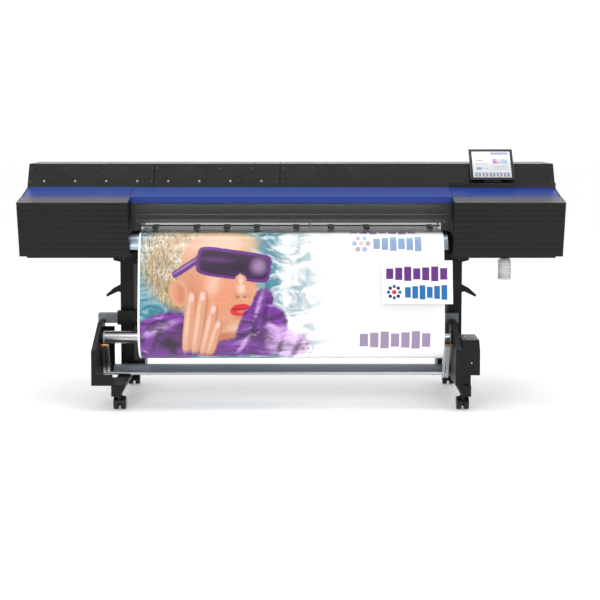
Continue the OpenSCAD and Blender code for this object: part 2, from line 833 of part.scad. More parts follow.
// ---- Carriage, blade, belt and capping ----
car_y0 = roller_line - 18 - carriage_d;
car_y1 = roller_line - 18;
car_z0 = platen_z + 8;
car_z1 = belt_z + belt_w + 3;
blade_x = carriage_park - carriage_w / 2 + 20;
blade_r = 8;
blade_y = fy(230);
blade_l = 60;
module print_carriage() {
    color("#2b2c2e")
        difference() {
            union() {
                block([carriage_park - carriage_w / 2, car_y0, car_z0],
                      [carriage_park + carriage_w / 2, car_y1, car_z1]);
                // Shoe on the rail
                block([carriage_park - 60, car_y1 - 1, car_rail_z - 10],
                      [carriage_park + 60, beam_y0 - 2, car_rail_z + car_rail_h + 10]);
                // Arm over the beam to the belt
                block([carriage_park - 20, car_y1 - 1, belt_z],
                      [carriage_park + 20, belt_y - pulley_r - belt_t - rail_clear - free, car_z1]);
            }
            block([carriage_park - 61, beam_y0 - car_rail_d - rail_clear, car_rail_z - rail_clear],
                  [carriage_park + 61, beam_y0, car_rail_z + car_rail_h + rail_clear]);
            post(blade_x, blade_y, car_z0 - 1, car_z1 + 1, blade_r + run);
        }
    // Print heads
    color("#c7cacc")
        for (i = [0 : 1])
            block([carriage_park - 40 + i * 60, car_y0 + 20, car_z0 - 3],
                  [carriage_park + 5 + i * 60, car_y1 - 20, car_z0]);
}
module blade_holder() {
    color("#b9bdc0") {
        post(blade_x, blade_y, car_z0 - 2, car_z0 + blade_l, blade_r);
        post(blade_x, blade_y, car_z0 - 3.5, car_z0 - 1, 1.5);
    }
}
module drive_belt() {
    color("#181818")
        difference() {
            union() {
                block([-pulley_x, belt_y - pulley_r - rail_clear - belt_t, belt_z],
                      [pulley_x, belt_y + pulley_r + rail_clear + belt_t, belt_z + belt_w]);
                for (s = [-1, 1])
                    post(s * pulley_x, belt_y, belt_z, belt_z + belt_w, pulley_r + rail_clear + belt_t);
            }
            block([-pulley_x, belt_y - pulley_r - rail_clear, belt_z - 1],
                  [pulley_x, belt_y + pulley_r + rail_clear, belt_z + belt_w + 1]);
            for (s = [-1, 1])
                post(s * pulley_x, belt_y, belt_z - 1, belt_z + belt_w + 1, pulley_r + rail_clear);
        }
}
module pulley(x) {
    difference() {
        union() {
            post(x, belt_y, belt_z - 1, belt_z + belt_w + 1, pulley_r);
            post(x, belt_y, belt_z - 3, belt_z - 1, pulley_r + 4);
            post(x, belt_y, belt_z + belt_w + 1, belt_z + belt_w + 3, pulley_r + 4);
        }
        post(x, belt_y, belt_z - 4, belt_z + belt_w + 4, pin_r + run);
    }
}
module motor_pulley() { color("#a9acae") pulley(pulley_x); }
module idler_pulley() { color("#a9acae") pulley(-pulley_x); }
cap_h = 22;
module cap_station() {
    color("#353637")
        difference() {
            block([carriage_park - 60, cap_y0, car_z0 - 3.5 - cap_h], [carriage_park + 60, cap_y0 + cap_d, car_z0 - 3.5]);
            for (x = cap_pin_x)
                post(x, cap_pin_y, car_z0 - cap_h - 5, car_z0 - 8, cap_pin_r + run);
            // Wells under the heads
            for (i = [0 : 1])
                block([carriage_park - 37 + i * 60, cap_y0 + 12, car_z0 - 8],
                      [carriage_park + 2 + i * 60, cap_y0 + cap_d - 12, car_z0]);
        }
}

// ---- End covers and trims ----
trim_t = 4;
wall_open_y = fy(172);
face_foot_y = fy(face_lean);
rib_pitch = (face_h - 16) / rib_count;
bottle_x = x_bay + 297;
bottle_y = fy(200);
neck_r = 20;
// Depth of the ribbed face at a height
function face_y(z) = fy(face_lean * (face_z - z) / face_h);
module end_cover(bottle) {
    difference() {
        union() {
            along_x(x_bay, x_end, [
                [face_foot_y, base_z], [fy(0), face_z], [cap_y, cap_z], [cap_y, cap_z - trim_t],
                [deck_y, deck_z - trim_t], [back_y, deck_z - trim_t], [back_y, base_z]
            ]);
            block([x_bay, face_foot_y + 20, base_z - pan_h], [x_end - pan_inset, back_y - 20, base_z + 1]);
            if (bottle)
                post(bottle_x, bottle_y, base_z - pan_h - 14, base_z, neck_r + 8);
        }
        along_x(x_bay + skin, x_end - skin, [
            [face_foot_y + skin + rib_d, base_z + skin], [fy(skin + rib_d), face_z - skin],
            [cap_y + 0.5, cap_z - skin - 1], [cap_y + 0.5, overall_h], [back_y - skin, overall_h],
            [back_y - skin, base_z + skin]
        ]);
        // Way through for the frame, beam and carriage
        block([x_bay - 1, wall_open_y, base_z - pan_h - 1], [x_bay + skin + 1, back_y - skin - 10, overall_h]);
        block([x_bay - 1, wall_open_y, base_z - pan_h - 1], [leg_out + 2, back_y - 40, base_z + skin + 1]);
        // Grooves between the ribs
        for (i = [0 : rib_count - 1])
            let (z = base_z + 8 + i * rib_pitch)
                along_x(x_bay - 1, x_end + 1, [
                    [face_y(z) - 9, z], [face_y(z) + 0.4, z], [face_y(z + rib_pitch * 0.86) + rib_d, z + rib_pitch * 0.86],
                    [face_y(z + rib_pitch) - 0.01, z + rib_pitch], [face_y(z + rib_pitch) - 9, z + rib_pitch]
                ]);
        if (bottle)
            post(bottle_x, bottle_y, base_z - pan_h - 15, base_z + skin + 1, neck_r + free);
    }
}
module cover_left() { color("#1a1b1d") mirror([1, 0, 0]) end_cover(false); }
module cover_right() { color("#1a1b1d") end_cover(true); }
module top_trims() {
    color("#1d3f86")
        both_sides()
            along_x(x_bay + cover_lap + seam, x_end - 10, [
                [cap_y, cap_z - trim_t], [cap_y, cap_z], [deck_y, deck_z], [deck_y, deck_z - trim_t]
            ]);
}

// ---- Hood, rear panel, ink ----
tray_z0 = deck_z + 8;
function ink_x(i) = -ink_first + i * ink_pitch;
module hood(x0, x1, wall0, wall1) {
    difference() {
        along_x(x0, x1, [[deck_y, deck_z - trim_t], [deck_y, deck_z], [hood_y, overall_h],
                         [back_y - skin, overall_h], [back_y - skin, deck_z - trim_t]]);
        along_x(x0 + wall0, x1 - wall1, [
            [deck_y + skin, deck_z - trim_t - 1], [deck_y + skin + 1, deck_z],
            [hood_y + skin - 1, overall_h - skin], [back_y, overall_h - skin], [back_y, deck_z - trim_t - 1]
        ]);
        for (i = [0 : ink_count - 1])
            translate([ink_x(i), deck_y + hood_run * led_up / hood_rise, deck_z + led_up])
                rotate([90, 0, 0])
                    cylinder(h = 60, r = led_r, center = true);
    }
}
module hood_left() { color("#161719") hood(-x_end, -hood_seam_left - seam / 2, skin, -1); }
module hood_center() {
    color("#161719") hood(-hood_seam_left + seam / 2, -hood_seam_right - seam / 2, -1, -1);
}
module hood_right() {
    color("#161719") {
        hood(-hood_seam_right + seam / 2, x_end, -1, skin);
        // Ledge under the tablet
        along_x(x_bay + cover_lap + seam, x_end, [
            [deck_y - ledge_d, slope_z(deck_y - ledge_d) + 0.1], [deck_y - ledge_d + 2, deck_z + ledge_h],
            [deck_y + hood_run * ledge_h / hood_rise + 2, deck_z + ledge_h], [deck_y + 2, deck_z + 0.1],
            [deck_y, deck_z + 0.1]
        ]);
    }
}
module status_leds() {
    color("#dfe6ea")
        for (i = [0 : ink_count - 1])
            translate([ink_x(i), deck_y + hood_run * led_up / hood_rise + 3, deck_z + led_up])
                rotate([90, 0, 0])
                    cylinder(h = 5, r = led_r - 0.1);
}
slot_z0 = platen_z + 70;
inlet_x = -x_bay - 260;
inlet_w = 48;
inlet_h = 30;
inlet_z = base_z + 90;
rocker_w = 20;
rocker_x = inlet_x + 70;
module rear_panel() {
    color("#1f2022")
        difference() {
            union() {
                block([-x_end, back_y - skin, deck_z - trim_t], [x_end, back_y, overall_h]);
                block([-x_bay + 1, back_y - skin, slot_z0], [x_bay - 1, back_y, deck_z]);
            }
            for (i = [0 : ink_count - 1])
                block([ink_x(i) - tray_w / 2 - tray_gap, back_y - skin - 1, tray_z0 - tray_gap],
                      [ink_x(i) + tray_w / 2 + tray_gap, back_y + 1, tray_z0 + tray_h + tray_gap]);
        }
    // Bracket round the power inlet, on the left end's rear wall
    color("#1f2022")
        difference() {
            block([inlet_x - 50, back_y, inlet_z - 30], [rocker_x + 30, back_y + 6, inlet_z + 30]);
            block([inlet_x - inlet_w / 2, back_y - 1, inlet_z - inlet_h / 2],
                  [inlet_x + inlet_w / 2, back_y + 7, inlet_z + inlet_h / 2]);
            block([rocker_x - rocker_w / 2, back_y + 1, inlet_z - 15], [rocker_x + rocker_w / 2, back_y + 7, inlet_z + 15]);
        }
}
module power_inlet() {
    color("#101010")
        difference() {
            block([inlet_x - inlet_w / 2, back_y, inlet_z - inlet_h / 2],
                  [inlet_x + inlet_w / 2, back_y + 9, inlet_z + inlet_h / 2]);
            block([inlet_x - 13, back_y + 2, inlet_z - 9], [inlet_x + 13, back_y + 10, inlet_z + 9]);
        }
    color("#c0a060")
        for (x = [-7, 0, 7])
            block([inlet_x + x - 1, back_y + 1, inlet_z - 3], [inlet_x + x + 1, back_y + 7, inlet_z + 3]);
}
module power_rocker() {
    color("#1a1a1a")
        along_x(rocker_x - rocker_w / 2 + free, rocker_x + rocker_w / 2 - free, [
            [back_y + 5, inlet_z - 13.5], [back_y + 9, inlet_z - 13.5], [back_y + 7.5, inlet_z],
            [back_y + 9, inlet_z + 13.5], [back_y + 5, inlet_z + 13.5], [back_y + 1.6, inlet_z + 2],
            [back_y + 1.6, inlet_z - 2]
        ]);
}
module ink_trays() {
    color("#2c2e30")
        for (i = [0 : ink_count - 1]) {
            block([ink_x(i) - tray_w / 2, back_y + 14 - tray_l, tray_z0],
                  [ink_x(i) + tray_w / 2, back_y + 14, tray_z0 + tray_h]);
            // Finger grip
            block([ink_x(i) - tray_w / 4, back_y + 14, tray_z0 + 10],
                  [ink_x(i) + tray_w / 4, back_y + 26, tray_z0 + 26]);
        }
}

// ---- Front cover ----
hinge_r = 3.5;
hinge_hole = 1.5;
hinge_y = deck_y - 5;
hinge_z = slope_z(hinge_y) - 4;
cover_x = x_bay + cover_lap;
lip_t = 4;
window_t = 4;
mouth_z = platen_z + mouth_h;
window_top = cap_z - lip_h;
module front_cover() {
    color("#1d3f86") {
        difference() {
            along_x(-cover_x, cover_x, [
                [cap_y + seam, slope_z(cap_y + seam) - trim_t + free], [cap_y + seam, slope_z(cap_y + seam)],
                [hinge_y, slope_z(hinge_y)], [hinge_y, slope_z(hinge_y) - trim_t + free]
            ]);
            both_sides()
                bar(x_bay - 61, x_bay - 19, hinge_y, hinge_z, hinge_hole + run);
        }
        along_x(-x_bay + seam, x_bay - seam, [
            [cap_y, window_top], [cap_y, cap_z - 0.1], [cap_y + 12, slope_z(cap_y + 12) - 1],
            [cap_y + 12, cap_z - trim_t + 2], [cap_y + lip_t, cap_z - trim_t - 6], [cap_y + lip_t, window_top]
        ]);
        // Posts at both sides of the window
        both_sides()
            along_x(x_bay - seam - window_side, x_bay - seam, [
                [cap_y, window_top], [cap_y + lip_t, window_top], [cap_y + lip_t + window_rake, mouth_z],
                [cap_y + window_rake, mouth_z]
            ]);
        // Hinge knuckles under the top
        both_sides()
            difference() {
                union() {
                    bar(x_bay - 60, x_bay - 20, hinge_y, hinge_z, hinge_r);
                    along_x(x_bay - 60, x_bay - 20, [
                        [hinge_y - 20, slope_z(hinge_y - 20) - trim_t + 1], [hinge_y - 20, slope_z(hinge_y - 20) - trim_t],
                        [hinge_y, hinge_z - hinge_r], [hinge_y, slope_z(hinge_y) - 1]
                    ]);
                }
                bar(x_bay - 61, x_bay - 19, hinge_y, hinge_z, hinge_hole + run);
            }
    }
}
module cover_window() {
    color([0.75, 0.82, 0.88, 0.35])
        along_x(-x_bay + seam + window_side, x_bay - seam - window_side, [
            [cap_y, window_top], [cap_y + window_t, window_top], [cap_y + window_t + window_rake, mouth_z],
            [cap_y + window_rake, mouth_z]
        ]);
}

// ---- Tablet ----
tilt_y = deck_y - 4;
tilt_z = deck_z + ledge_h + 9;
tilt_r = 3;
tablet_off = 7;
module tablet() {
    color("#0e0f11")
        difference() {
            union() {
                translate([tablet_x, tilt_y, tilt_z])
                    rotate([-tablet_lean, 0, 0])
                        block([-tablet_w / 2, -tablet_off - tablet_t, 0], [tablet_w / 2, -tablet_off, tablet_h]);
                bar(tablet_x - 40, tablet_x + 40, tilt_y, tilt_z, tilt_r + 3);
                translate([tablet_x, tilt_y, tilt_z])
                    rotate([-tablet_lean, 0, 0])
                        block([-40, -tablet_off - 1, 0], [40, 0, 14]);
            }
            bar(tablet_x - 41, tablet_x + 41, tilt_y, tilt_z, tilt_r + run);
        }
}
module tablet_holder() {
    color("#232427") {
        block([tablet_x - 60, deck_y - ledge_d + 3, deck_z + ledge_h],
              [tablet_x + 60, deck_y + hood_run * ledge_h / hood_rise, deck_z + ledge_h + 2]);
        for (s = [-1, 1])
            block([tablet_x + s * 41, tilt_y - 3.5, deck_z + ledge_h], [tablet_x + s * 47, tilt_y + 6, tilt_z + 3.5]);
        bar(tablet_x - 42, tablet_x + 42, tilt_y, tilt_z, tilt_r);
    }
}

// ---- Drain bottle ----
bottle_r = 36;
bottle_z0 = base_z - 139;
bottle_wall = 1.5;
bottle_z1 = base_z - pan_h - 15;
module drain_bottle() {
    color([0.88, 0.9, 0.9, 0.6])
        translate([bottle_x, bottle_y, bottle_z0])
            rotate_extrude()
                polygon([[0, 0], [bottle_r - 4, 0], [bottle_r, 4], [bottle_r, bottle_z1 - bottle_z0 - 16],
                         [neck_r, bottle_z1 - bottle_z0 - 1], [neck_r, bottle_z1 - bottle_z0 + 22],
                         [neck_r - bottle_wall, bottle_z1 - bottle_z0 + 22], [neck_r - bottle_wall, bottle_z1 - bottle_z0 - 3],
                         [bottle_r - bottle_wall, bottle_z1 - bottle_z0 - 17], [bottle_r - bottle_wall, 2], [0, 2]]);
}

// ---- Supply roll ----
supply_y = fy(620);
supply_z = 640;
shaft_r = 12;
module supply_roll() {
    color("#f2f2f0")
        difference() {
            union() {
                bar(-media_w / 2, media_w / 2, supply_y, supply_z, supply_r);
                bar(-media_w / 2 - 20, media_w / 2 + 20, supply_y, supply_z, core_r + 18);
            }
            bar(-media_w / 2 + 42, media_w / 2 - 42, supply_y, supply_z, core_r);
            bar(-x_end, x_end, supply_y, supply_z, shaft_r + run);
        }
}
module roll_holders() {
    color("#505356") {
        bar(-leg_in - 62, leg_in + 62, supply_y, supply_z, shaft_r);
        both_sides()
            along_x(leg_in + 48, leg_in + 56, [
                [leg_y1, supply_z - 60], [supply_y - 6, supply_z - 24], [supply_y + 24, supply_z - 24],
                [supply_y + 24, supply_z + 24], [supply_y - 30, supply_z + 24], [leg_y1, supply_z + 60]
            ]);
    }
}

// ---- Media ----
// Hand-set route of the web, [depth from the front, height above the underside of the body]
deck_line = platen_up + 0.5;
web_deck = [[543.5, -182], [541, -100], [530, 0], [510, 70], [495, 100], [488, 114], [478, deck_line + 0.4],
            [455, deck_line], [420, deck_line], [300, deck_line], [180, deck_line], [148, deck_line]];
web_front = [[61, 10], [46, -60], [28, -172]];
// The slack loop and the rise to the tube, [depth, height above the floor]
web_loop = [[12, 560], [5, 480], [7, 410], [22, 345], [60, 292], [120, 265], [180, 264], [212, 288], [216.5, 330],
            [215.5, 366]];
web_route = concat(
    [for (p = web_deck) [fy(p.x), base_z + p.y]],
    [for (a = [18 : 18 : 72]) apron_point(a, 1.2)],
    [for (p = web_front) [fy(p.x), base_z + p.y]],
    [for (p = web_loop) [fy(p.x), p.y]]
);
web_steps = 5;
// A smooth curve through four points, the middle two being its ends
function through(p, q, r, s, t) =
    0.5 * (2 * q + (r - p) * t + (2 * p - 5 * q + 4 * r - s) * t * t + (3 * q - p - 3 * r + s) * t * t * t);
function web_at(i) = web_route[max(0, min(len(web_route) - 1, i))];
web_line = concat(
    [for (i = [0 : len(web_route) - 2])
        for (k = [0 : web_steps - 1])
            through(web_at(i - 1), web_at(i), web_at(i + 1), web_at(i + 2), k / web_steps)],
    [web_at(len(web_route) - 1)]
);
// The line moved sideways by a distance
function beside(line, off) = [for (i = [0 : len(line) - 1])
    let (a = line[max(0, i - 1)], b = line[min(len(line) - 1, i + 1)], d = (b - a) / norm(b - a))
        line[i] + off * [-d.y, d.x]];
module media_web() {
    outer = beside(web_line, -media_t);
    color("#f4f5f6")
        along_x(-media_w / 2, media_w / 2,
                concat(web_line, [for (i = [len(outer) - 1 : -1 : 0]) outer[i]]));
}

leg_left();
leg_right();
foot_left();
foot_right();
stretcher_beam();
wing_hooks();
fasteners();
caster_fork_fl();
caster_fork_fr();
caster_fork_rl();
caster_fork_rr();
caster_wheels_fl();
caster_wheels_fr();
caster_wheels_rl();
caster_wheels_rr();
take_up_rail();
take_up_frames();
rail_slider();
take_up_tube();
drive_gear();
motor_pinion();
take_up_motor();
drive_case();
direction_switch();
mode_switch();
swing_arms();
arm_bearings();
base_frame();
guide_beam();
hood_left();
hood_center();
hood_right();
cover_left();
cover_right();
top_trims();
rear_panel();
front_cover();
cover_window();
platen();
apron();
grit_roller();
pinch_arms();
pinch_wheels();
loading_lever();
print_carriage();
blade_holder();
drive_belt();
motor_pulley();
idler_pulley();
cap_station();
status_leds();
tablet();
tablet_holder();
drain_bottle();
ink_trays();
supply_roll();
roll_holders();
power_inlet();
power_rocker();
media_web();
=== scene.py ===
"""A wide-format printer cutter on its stand: finishes, printed web and small parts around the fixed frame."""
import math

import bmesh
import bpy
from bpy.props import FloatProperty, FloatVectorProperty, IntProperty
from mathutils import Matrix, Vector


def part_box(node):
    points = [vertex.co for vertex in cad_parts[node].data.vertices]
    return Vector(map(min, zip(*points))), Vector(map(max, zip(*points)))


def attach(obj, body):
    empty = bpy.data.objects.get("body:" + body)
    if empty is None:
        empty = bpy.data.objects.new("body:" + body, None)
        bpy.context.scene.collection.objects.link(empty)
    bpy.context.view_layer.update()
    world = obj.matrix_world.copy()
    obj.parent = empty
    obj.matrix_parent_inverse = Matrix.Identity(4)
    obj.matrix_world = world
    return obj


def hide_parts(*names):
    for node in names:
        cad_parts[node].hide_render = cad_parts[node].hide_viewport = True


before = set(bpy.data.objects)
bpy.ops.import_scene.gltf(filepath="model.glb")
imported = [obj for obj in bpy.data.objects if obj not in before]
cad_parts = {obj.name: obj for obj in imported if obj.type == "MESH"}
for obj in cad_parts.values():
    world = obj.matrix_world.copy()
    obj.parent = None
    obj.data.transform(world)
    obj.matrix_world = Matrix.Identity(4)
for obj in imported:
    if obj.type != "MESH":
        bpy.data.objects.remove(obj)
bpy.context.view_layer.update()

bl_info = {
    "name": "Printer Cutter",
    "version": (1, 0, 0),
    "blender": (4, 5, 0),
    "location": "3D View > Sidebar > Printer",
    "description": "Dresses a wide-format printer cutter: covers, web, take-up unit, tablet and stage",
    "category": "Object",
}


# ---------------------------------------------------------------- settings

class PrinterFinish(bpy.types.PropertyGroup):
    """Colours and finishes of the covers and the stand."""
    cover_black: FloatVectorProperty(
        name="Cover black", description="Moulded covers and hood", subtype="COLOR", size=3,
        min=0.0, max=1.0, default=(0.0080, 0.0077, 0.0070))
    cap_grey: FloatVectorProperty(
        name="Cap grey", description="Edge band over the ribbed faces", subtype="COLOR", size=3,
        min=0.0, max=1.0, default=(0.085, 0.088, 0.105))
    trim_blue: FloatVectorProperty(
        name="Trim blue", description="Sloping trims and front cover", subtype="COLOR", size=3,
        min=0.0, max=1.0, default=(0.012, 0.040, 0.235))
    steel_black: FloatVectorProperty(
        name="Stand black", description="Powder coat of the stand", subtype="COLOR", size=3,
        min=0.0, max=1.0, default=(0.0055, 0.0050, 0.0048))
    steel_grey: FloatVectorProperty(
        name="Rail grey", description="Enamel of the rail and cross beam", subtype="COLOR", size=3,
        min=0.0, max=1.0, default=(0.21, 0.24, 0.27))
    edge_round: FloatProperty(
        name="Edge round", description="Radius on the covers' edges", unit="LENGTH",
        min=0.0002, max=0.004, default=0.0016)


class PrinterWeb(bpy.types.PropertyGroup):
    """The printed web that runs from the supply roll to the take-up tube."""
    smooth_steps: IntProperty(
        name="Steps", description="Points between two hand-set points of the route",
        min=2, max=12, default=6)
    columns: IntProperty(
        name="Columns", description="Divisions across the web", min=8, max=80, default=40)
    border: FloatProperty(
        name="Border", description="Unprinted edge at the left", unit="LENGTH",
        min=0.0, max=0.05, default=0.011)


class PrinterStage(bpy.types.PropertyGroup):
    """Camera and floor."""
    lens: FloatProperty(name="Lens", description="Focal length in mm", min=20.0, max=200.0, default=74.6)
    eye_height: FloatProperty(
        name="Eye height", description="Camera height over the floor", unit="LENGTH",
        min=0.1, max=4.0, default=1.597)
    distance: FloatProperty(
        name="Distance", description="From the camera to the machine's front", unit="LENGTH",
        min=2.0, max=15.0, default=6.5)


# ---------------------------------------------------------------- small helpers

def settings(name):
    """The scene's property group of that name."""
    return getattr(bpy.context.scene, name)


def mm(value):
    """Millimetres as metres."""
    return value * 0.001


def at(x, y, z):
    """A place given in millimetres."""
    return mm(x), mm(y), mm(z)


def outline(*pairs):
    """Radius and height pairs given in millimetres."""
    return [at(radius, height, 0)[:2] for radius, height in pairs]


def rgba(colour):
    """An RGB triple as RGBA."""
    return (*tuple(colour)[:3], 1.0)


def new_piece(name, bm, material, body, smooth=None):
    """Makes a mesh object from a bmesh, gives it a finish and lets it ride on a body."""
    bm.normal_update()
    mesh = bpy.data.meshes.new(name)
    bm.to_mesh(mesh)
    bm.free()
    obj = bpy.data.objects.new(name, mesh)
    bpy.context.scene.collection.objects.link(obj)
    if material is not None:
        mesh.materials.append(material)
    if smooth is not None:
        for poly in mesh.polygons:
            poly.use_smooth = True
        mesh.set_sharp_from_angle(angle=math.radians(smooth))
    if body is not None:
        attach(obj, body)
    return obj


def add_bevel(obj, width, segments=2, angle=30.0):
    """Rounds a piece's edges."""
    bevel = obj.modifiers.new("Edges", "BEVEL")
    bevel.width = width
    bevel.segments = segments
    bevel.limit_method = "ANGLE"
    bevel.angle_limit = math.radians(angle)
    bevel.harden_normals = False
    return bevel


def add_box(bm, low, high):
    """A box between two corners."""
    made = bmesh.ops.create_cube(bm, size=1.0)["verts"]
    low, high = Vector(low), Vector(high)
    size = high - low
    bmesh.ops.scale(bm, vec=size, verts=made)
    bmesh.ops.translate(bm, vec=(low + high) / 2, verts=made)
    return made


def add_rod(bm, centre, axis, radius, length, sides=32, radius2=None):
    """A round bar with its middle at centre, along the axis."""
    made = bmesh.ops.create_cone(
        bm, cap_ends=True, segments=sides, radius1=radius,
        radius2=radius if radius2 is None else radius2, depth=length)["verts"]
    turn = Vector((0, 0, 1)).rotation_difference(Vector(axis)).to_matrix().to_4x4()
    bmesh.ops.transform(bm, matrix=Matrix.Translation(Vector(centre)) @ turn, verts=made)
    return made


def add_spun(bm, centre, axis, profile, sides=48):
    """A turned shape: profile holds (radius, height) pairs up the axis."""
    turn = Matrix.Translation(Vector(centre)) @ Vector((0, 0, 1)).rotation_difference(Vector(axis)).to_matrix().to_4x4()
    rings = []
    for radius, height in profile:
        count = sides if radius > 1e-6 else 1
        rings.append([bm.verts.new(turn @ Vector((
            radius * math.cos(2 * math.pi * k / sides), radius * math.sin(2 * math.pi * k / sides), height)))
            for k in range(count)])
    faces = []
    for low, high in zip(rings, rings[1:]):
        for k in range(sides):
            after = (k + 1) % sides
            corners = [low[k % len(low)], low[after % len(low)], high[after % len(high)], high[k % len(high)]]
            corners = [v for i, v in enumerate(corners) if v not in corners[:i]]
            if len(corners) > 2:
                faces.append(bm.faces.new(corners))
    bmesh.ops.recalc_face_normals(bm, faces=faces)
    return [v for ring in rings for v in ring]


def node_box(name):
    """A frame node's lowest and highest corner."""
    low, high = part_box(name)
    return Vector(low), Vector(high)


# ---------------------------------------------------------------- shader groups

def start_group(name, inputs, outputs):
    """An empty shader group with named value, vector and colour sockets."""
    kinds = {"value": "NodeSocketFloat", "vector": "NodeSocketVector", "colour": "NodeSocketColor"}
    tree = bpy.data.node_groups.new(name, "ShaderNodeTree")
    for label, kind, default in inputs:
        socket = tree.interface.new_socket(name=label, in_out="INPUT", socket_type=kinds[kind])
        socket.default_value = default
    for label, kind in outputs:
        tree.interface.new_socket(name=label, in_out="OUTPUT", socket_type=kinds[kind])
    return tree, tree.nodes.new("NodeGroupInput"), tree.nodes.new("NodeGroupOutput")


def link(tree, source, target):
    """Joins two sockets."""
    tree.links.new(source, target)


def feed(tree, value, target):
    """Joins a socket to an input, or sets the input to a number, vector or colour."""
    if isinstance(value, bpy.types.NodeSocket):
        link(tree, value, target)
    else:
        target.default_value = value


def math_node(tree, operation, *values, clamp=False):
    """A Math node fed with sockets or numbers; returns its output."""
    node = tree.nodes.new("ShaderNodeMath")
    node.operation = operation
    node.use_clamp = clamp
    for socket, value in zip(node.inputs, values):
        feed(tree, value, socket)
    return node.outputs[0]


def times(tree, first, *others):
    """The product of sockets and numbers."""
    for other in others:
        first = math_node(tree, "MULTIPLY", first, other)
    return first


def vector_math(tree, operation, *values):
    """A Vector Math node fed with sockets or vectors; returns its output."""
    node = tree.nodes.new("ShaderNodeVectorMath")
    node.operation = operation
    for socket, value in zip(node.inputs, values):
        feed(tree, value, socket)
    return node.outputs[0]


def scaled(tree, vector, factor):
    """A colour or vector times a factor, which is a socket or a number."""
    node = tree.nodes.new("ShaderNodeVectorMath")
    node.operation = "SCALE"
    link(tree, vector, node.inputs[0])
    feed(tree, factor, node.inputs["Scale"])
    return node.outputs[0]


def split(tree, vector):
    """The X, Y and Z sockets of a vector socket."""
    parts = tree.nodes.new("ShaderNodeSeparateXYZ")
    link(tree, vector, parts.inputs[0])
    return parts.outputs["X"], parts.outputs["Y"], parts.outputs["Z"]


def bump(tree, height, distance, strength):
    """The Normal socket of a Bump node."""
    node = tree.nodes.new("ShaderNodeBump")
    node.inputs["Distance"].default_value = distance
    feed(tree, strength, node.inputs["Strength"])
    link(tree, height, node.inputs["Height"])
    return node.outputs["Normal"]


def mix_colour(tree, mask, low, high, blend="MIX"):
    """Mixes two colours by a mask; colours are sockets or RGB triples."""
    node = tree.nodes.new("ShaderNodeMix")
    node.data_type = "RGBA"
    node.blend_type = blend
    feed(tree, mask, node.inputs[0])
    for socket, value in ((node.inputs[6], low), (node.inputs[7], high)):
        feed(tree, value if isinstance(value, bpy.types.NodeSocket) else rgba(value), socket)
    return node.outputs[2]


def noise(tree, point, scale, detail=3.0, rough=0.5, warp=0.0):
    """Noise on a point socket; returns the Noise node."""
    node = tree.nodes.new("ShaderNodeTexNoise")
    link(tree, point, node.inputs["Vector"])
    node.inputs["Scale"].default_value = scale
    node.inputs["Detail"].default_value = detail
    node.inputs["Roughness"].default_value = rough
    node.inputs["Distortion"].default_value = warp
    return node


def ramp(tree, value, low, high, out_low=0.0, out_high=1.0):
    """Maps a value smoothly from one range to another."""
    node = tree.nodes.new("ShaderNodeMapRange")
    node.interpolation_type = "SMOOTHSTEP"
    link(tree, value, node.inputs["Value"])
    for label, number in (("From Min", low), ("From Max", high), ("To Min", out_low), ("To Max", out_high)):
        feed(tree, number, node.inputs[label])
    return node.outputs["Result"]


def stretched(tree, point, factors):
    """Scales a point along each axis."""
    return vector_math(tree, "MULTIPLY", point, factors)


def grain_group():
    """Moulded grain: fine bumps, a little uneven gloss and dust on faces that look up."""
    tree, given, out = start_group(
        "Moulded Grain",
        [("Point", "vector", (0, 0, 0)), ("Size", "value", 900.0), ("Depth", "value", 0.1),
         ("Roughness", "value", 0.45), ("Dust", "value", 0.1), ("Colour", "colour", (0, 0, 0, 1))],
        [("Colour", "colour"), ("Roughness", "value"), ("Normal", "vector")])
    fine = tree.nodes.new("ShaderNodeTexVoronoi")
    fine.feature = "SMOOTH_F1"
    link(tree, given.outputs["Point"], fine.inputs["Vector"])
    link(tree, given.outputs["Size"], fine.inputs["Scale"])
    link(tree, bump(tree, fine.outputs["Distance"], 0.0004, given.outputs["Depth"]), out.inputs["Normal"])
    cloud = noise(tree, given.outputs["Point"], 7.0, detail=5.0, rough=0.6).outputs["Fac"]
    uneven = ramp(tree, cloud, 0.3, 0.7, -0.05, 0.06)
    link(tree, math_node(tree, "ADD", given.outputs["Roughness"], uneven, clamp=True), out.inputs["Roughness"])
    facing = tree.nodes.new("ShaderNodeNewGeometry")
    upward = ramp(tree, split(tree, facing.outputs["Normal"])[2], 0.5, 1.0)
    specks = ramp(tree, noise(tree, given.outputs["Point"], 60.0, detail=6.0, rough=0.7).outputs["Fac"], 0.42, 0.75)
    settled = times(tree, upward, specks, given.outputs["Dust"])
    link(tree, mix_colour(tree, settled, given.outputs["Colour"], (0.42, 0.41, 0.4)), out.inputs["Colour"])
    return tree


def streak_group():
    """Brushed metal: long fine streaks along X with uneven gloss."""
    tree, given, out = start_group(
        "Brushed Streaks",
        [("Point", "vector", (0, 0, 0)), ("Colour", "colour", (0.7, 0.7, 0.7, 1)), ("Roughness", "value", 0.3),
         ("Depth", "value", 0.2)],
        [("Colour", "colour"), ("Roughness", "value"), ("Normal", "vector")])
    lines = noise(tree, stretched(tree, given.outputs["Point"], (3.0, 700.0, 700.0)), 1.0, detail=4.0,
                  rough=0.7).outputs["Fac"]
    link(tree, bump(tree, lines, 0.0002, given.outputs["Depth"]), out.inputs["Normal"])
    uneven = ramp(tree, lines, 0.25, 0.75, -0.07, 0.09)
    link(tree, math_node(tree, "ADD", given.outputs["Roughness"], uneven, clamp=True), out.inputs["Roughness"])
    darker = mix_colour(tree, 0.25, given.outputs["Colour"], (0.02, 0.02, 0.02))
    link(tree, mix_colour(tree, ramp(tree, lines, 0.3, 0.7), darker, given.outputs["Colour"]), out.inputs["Colour"])
    return tree


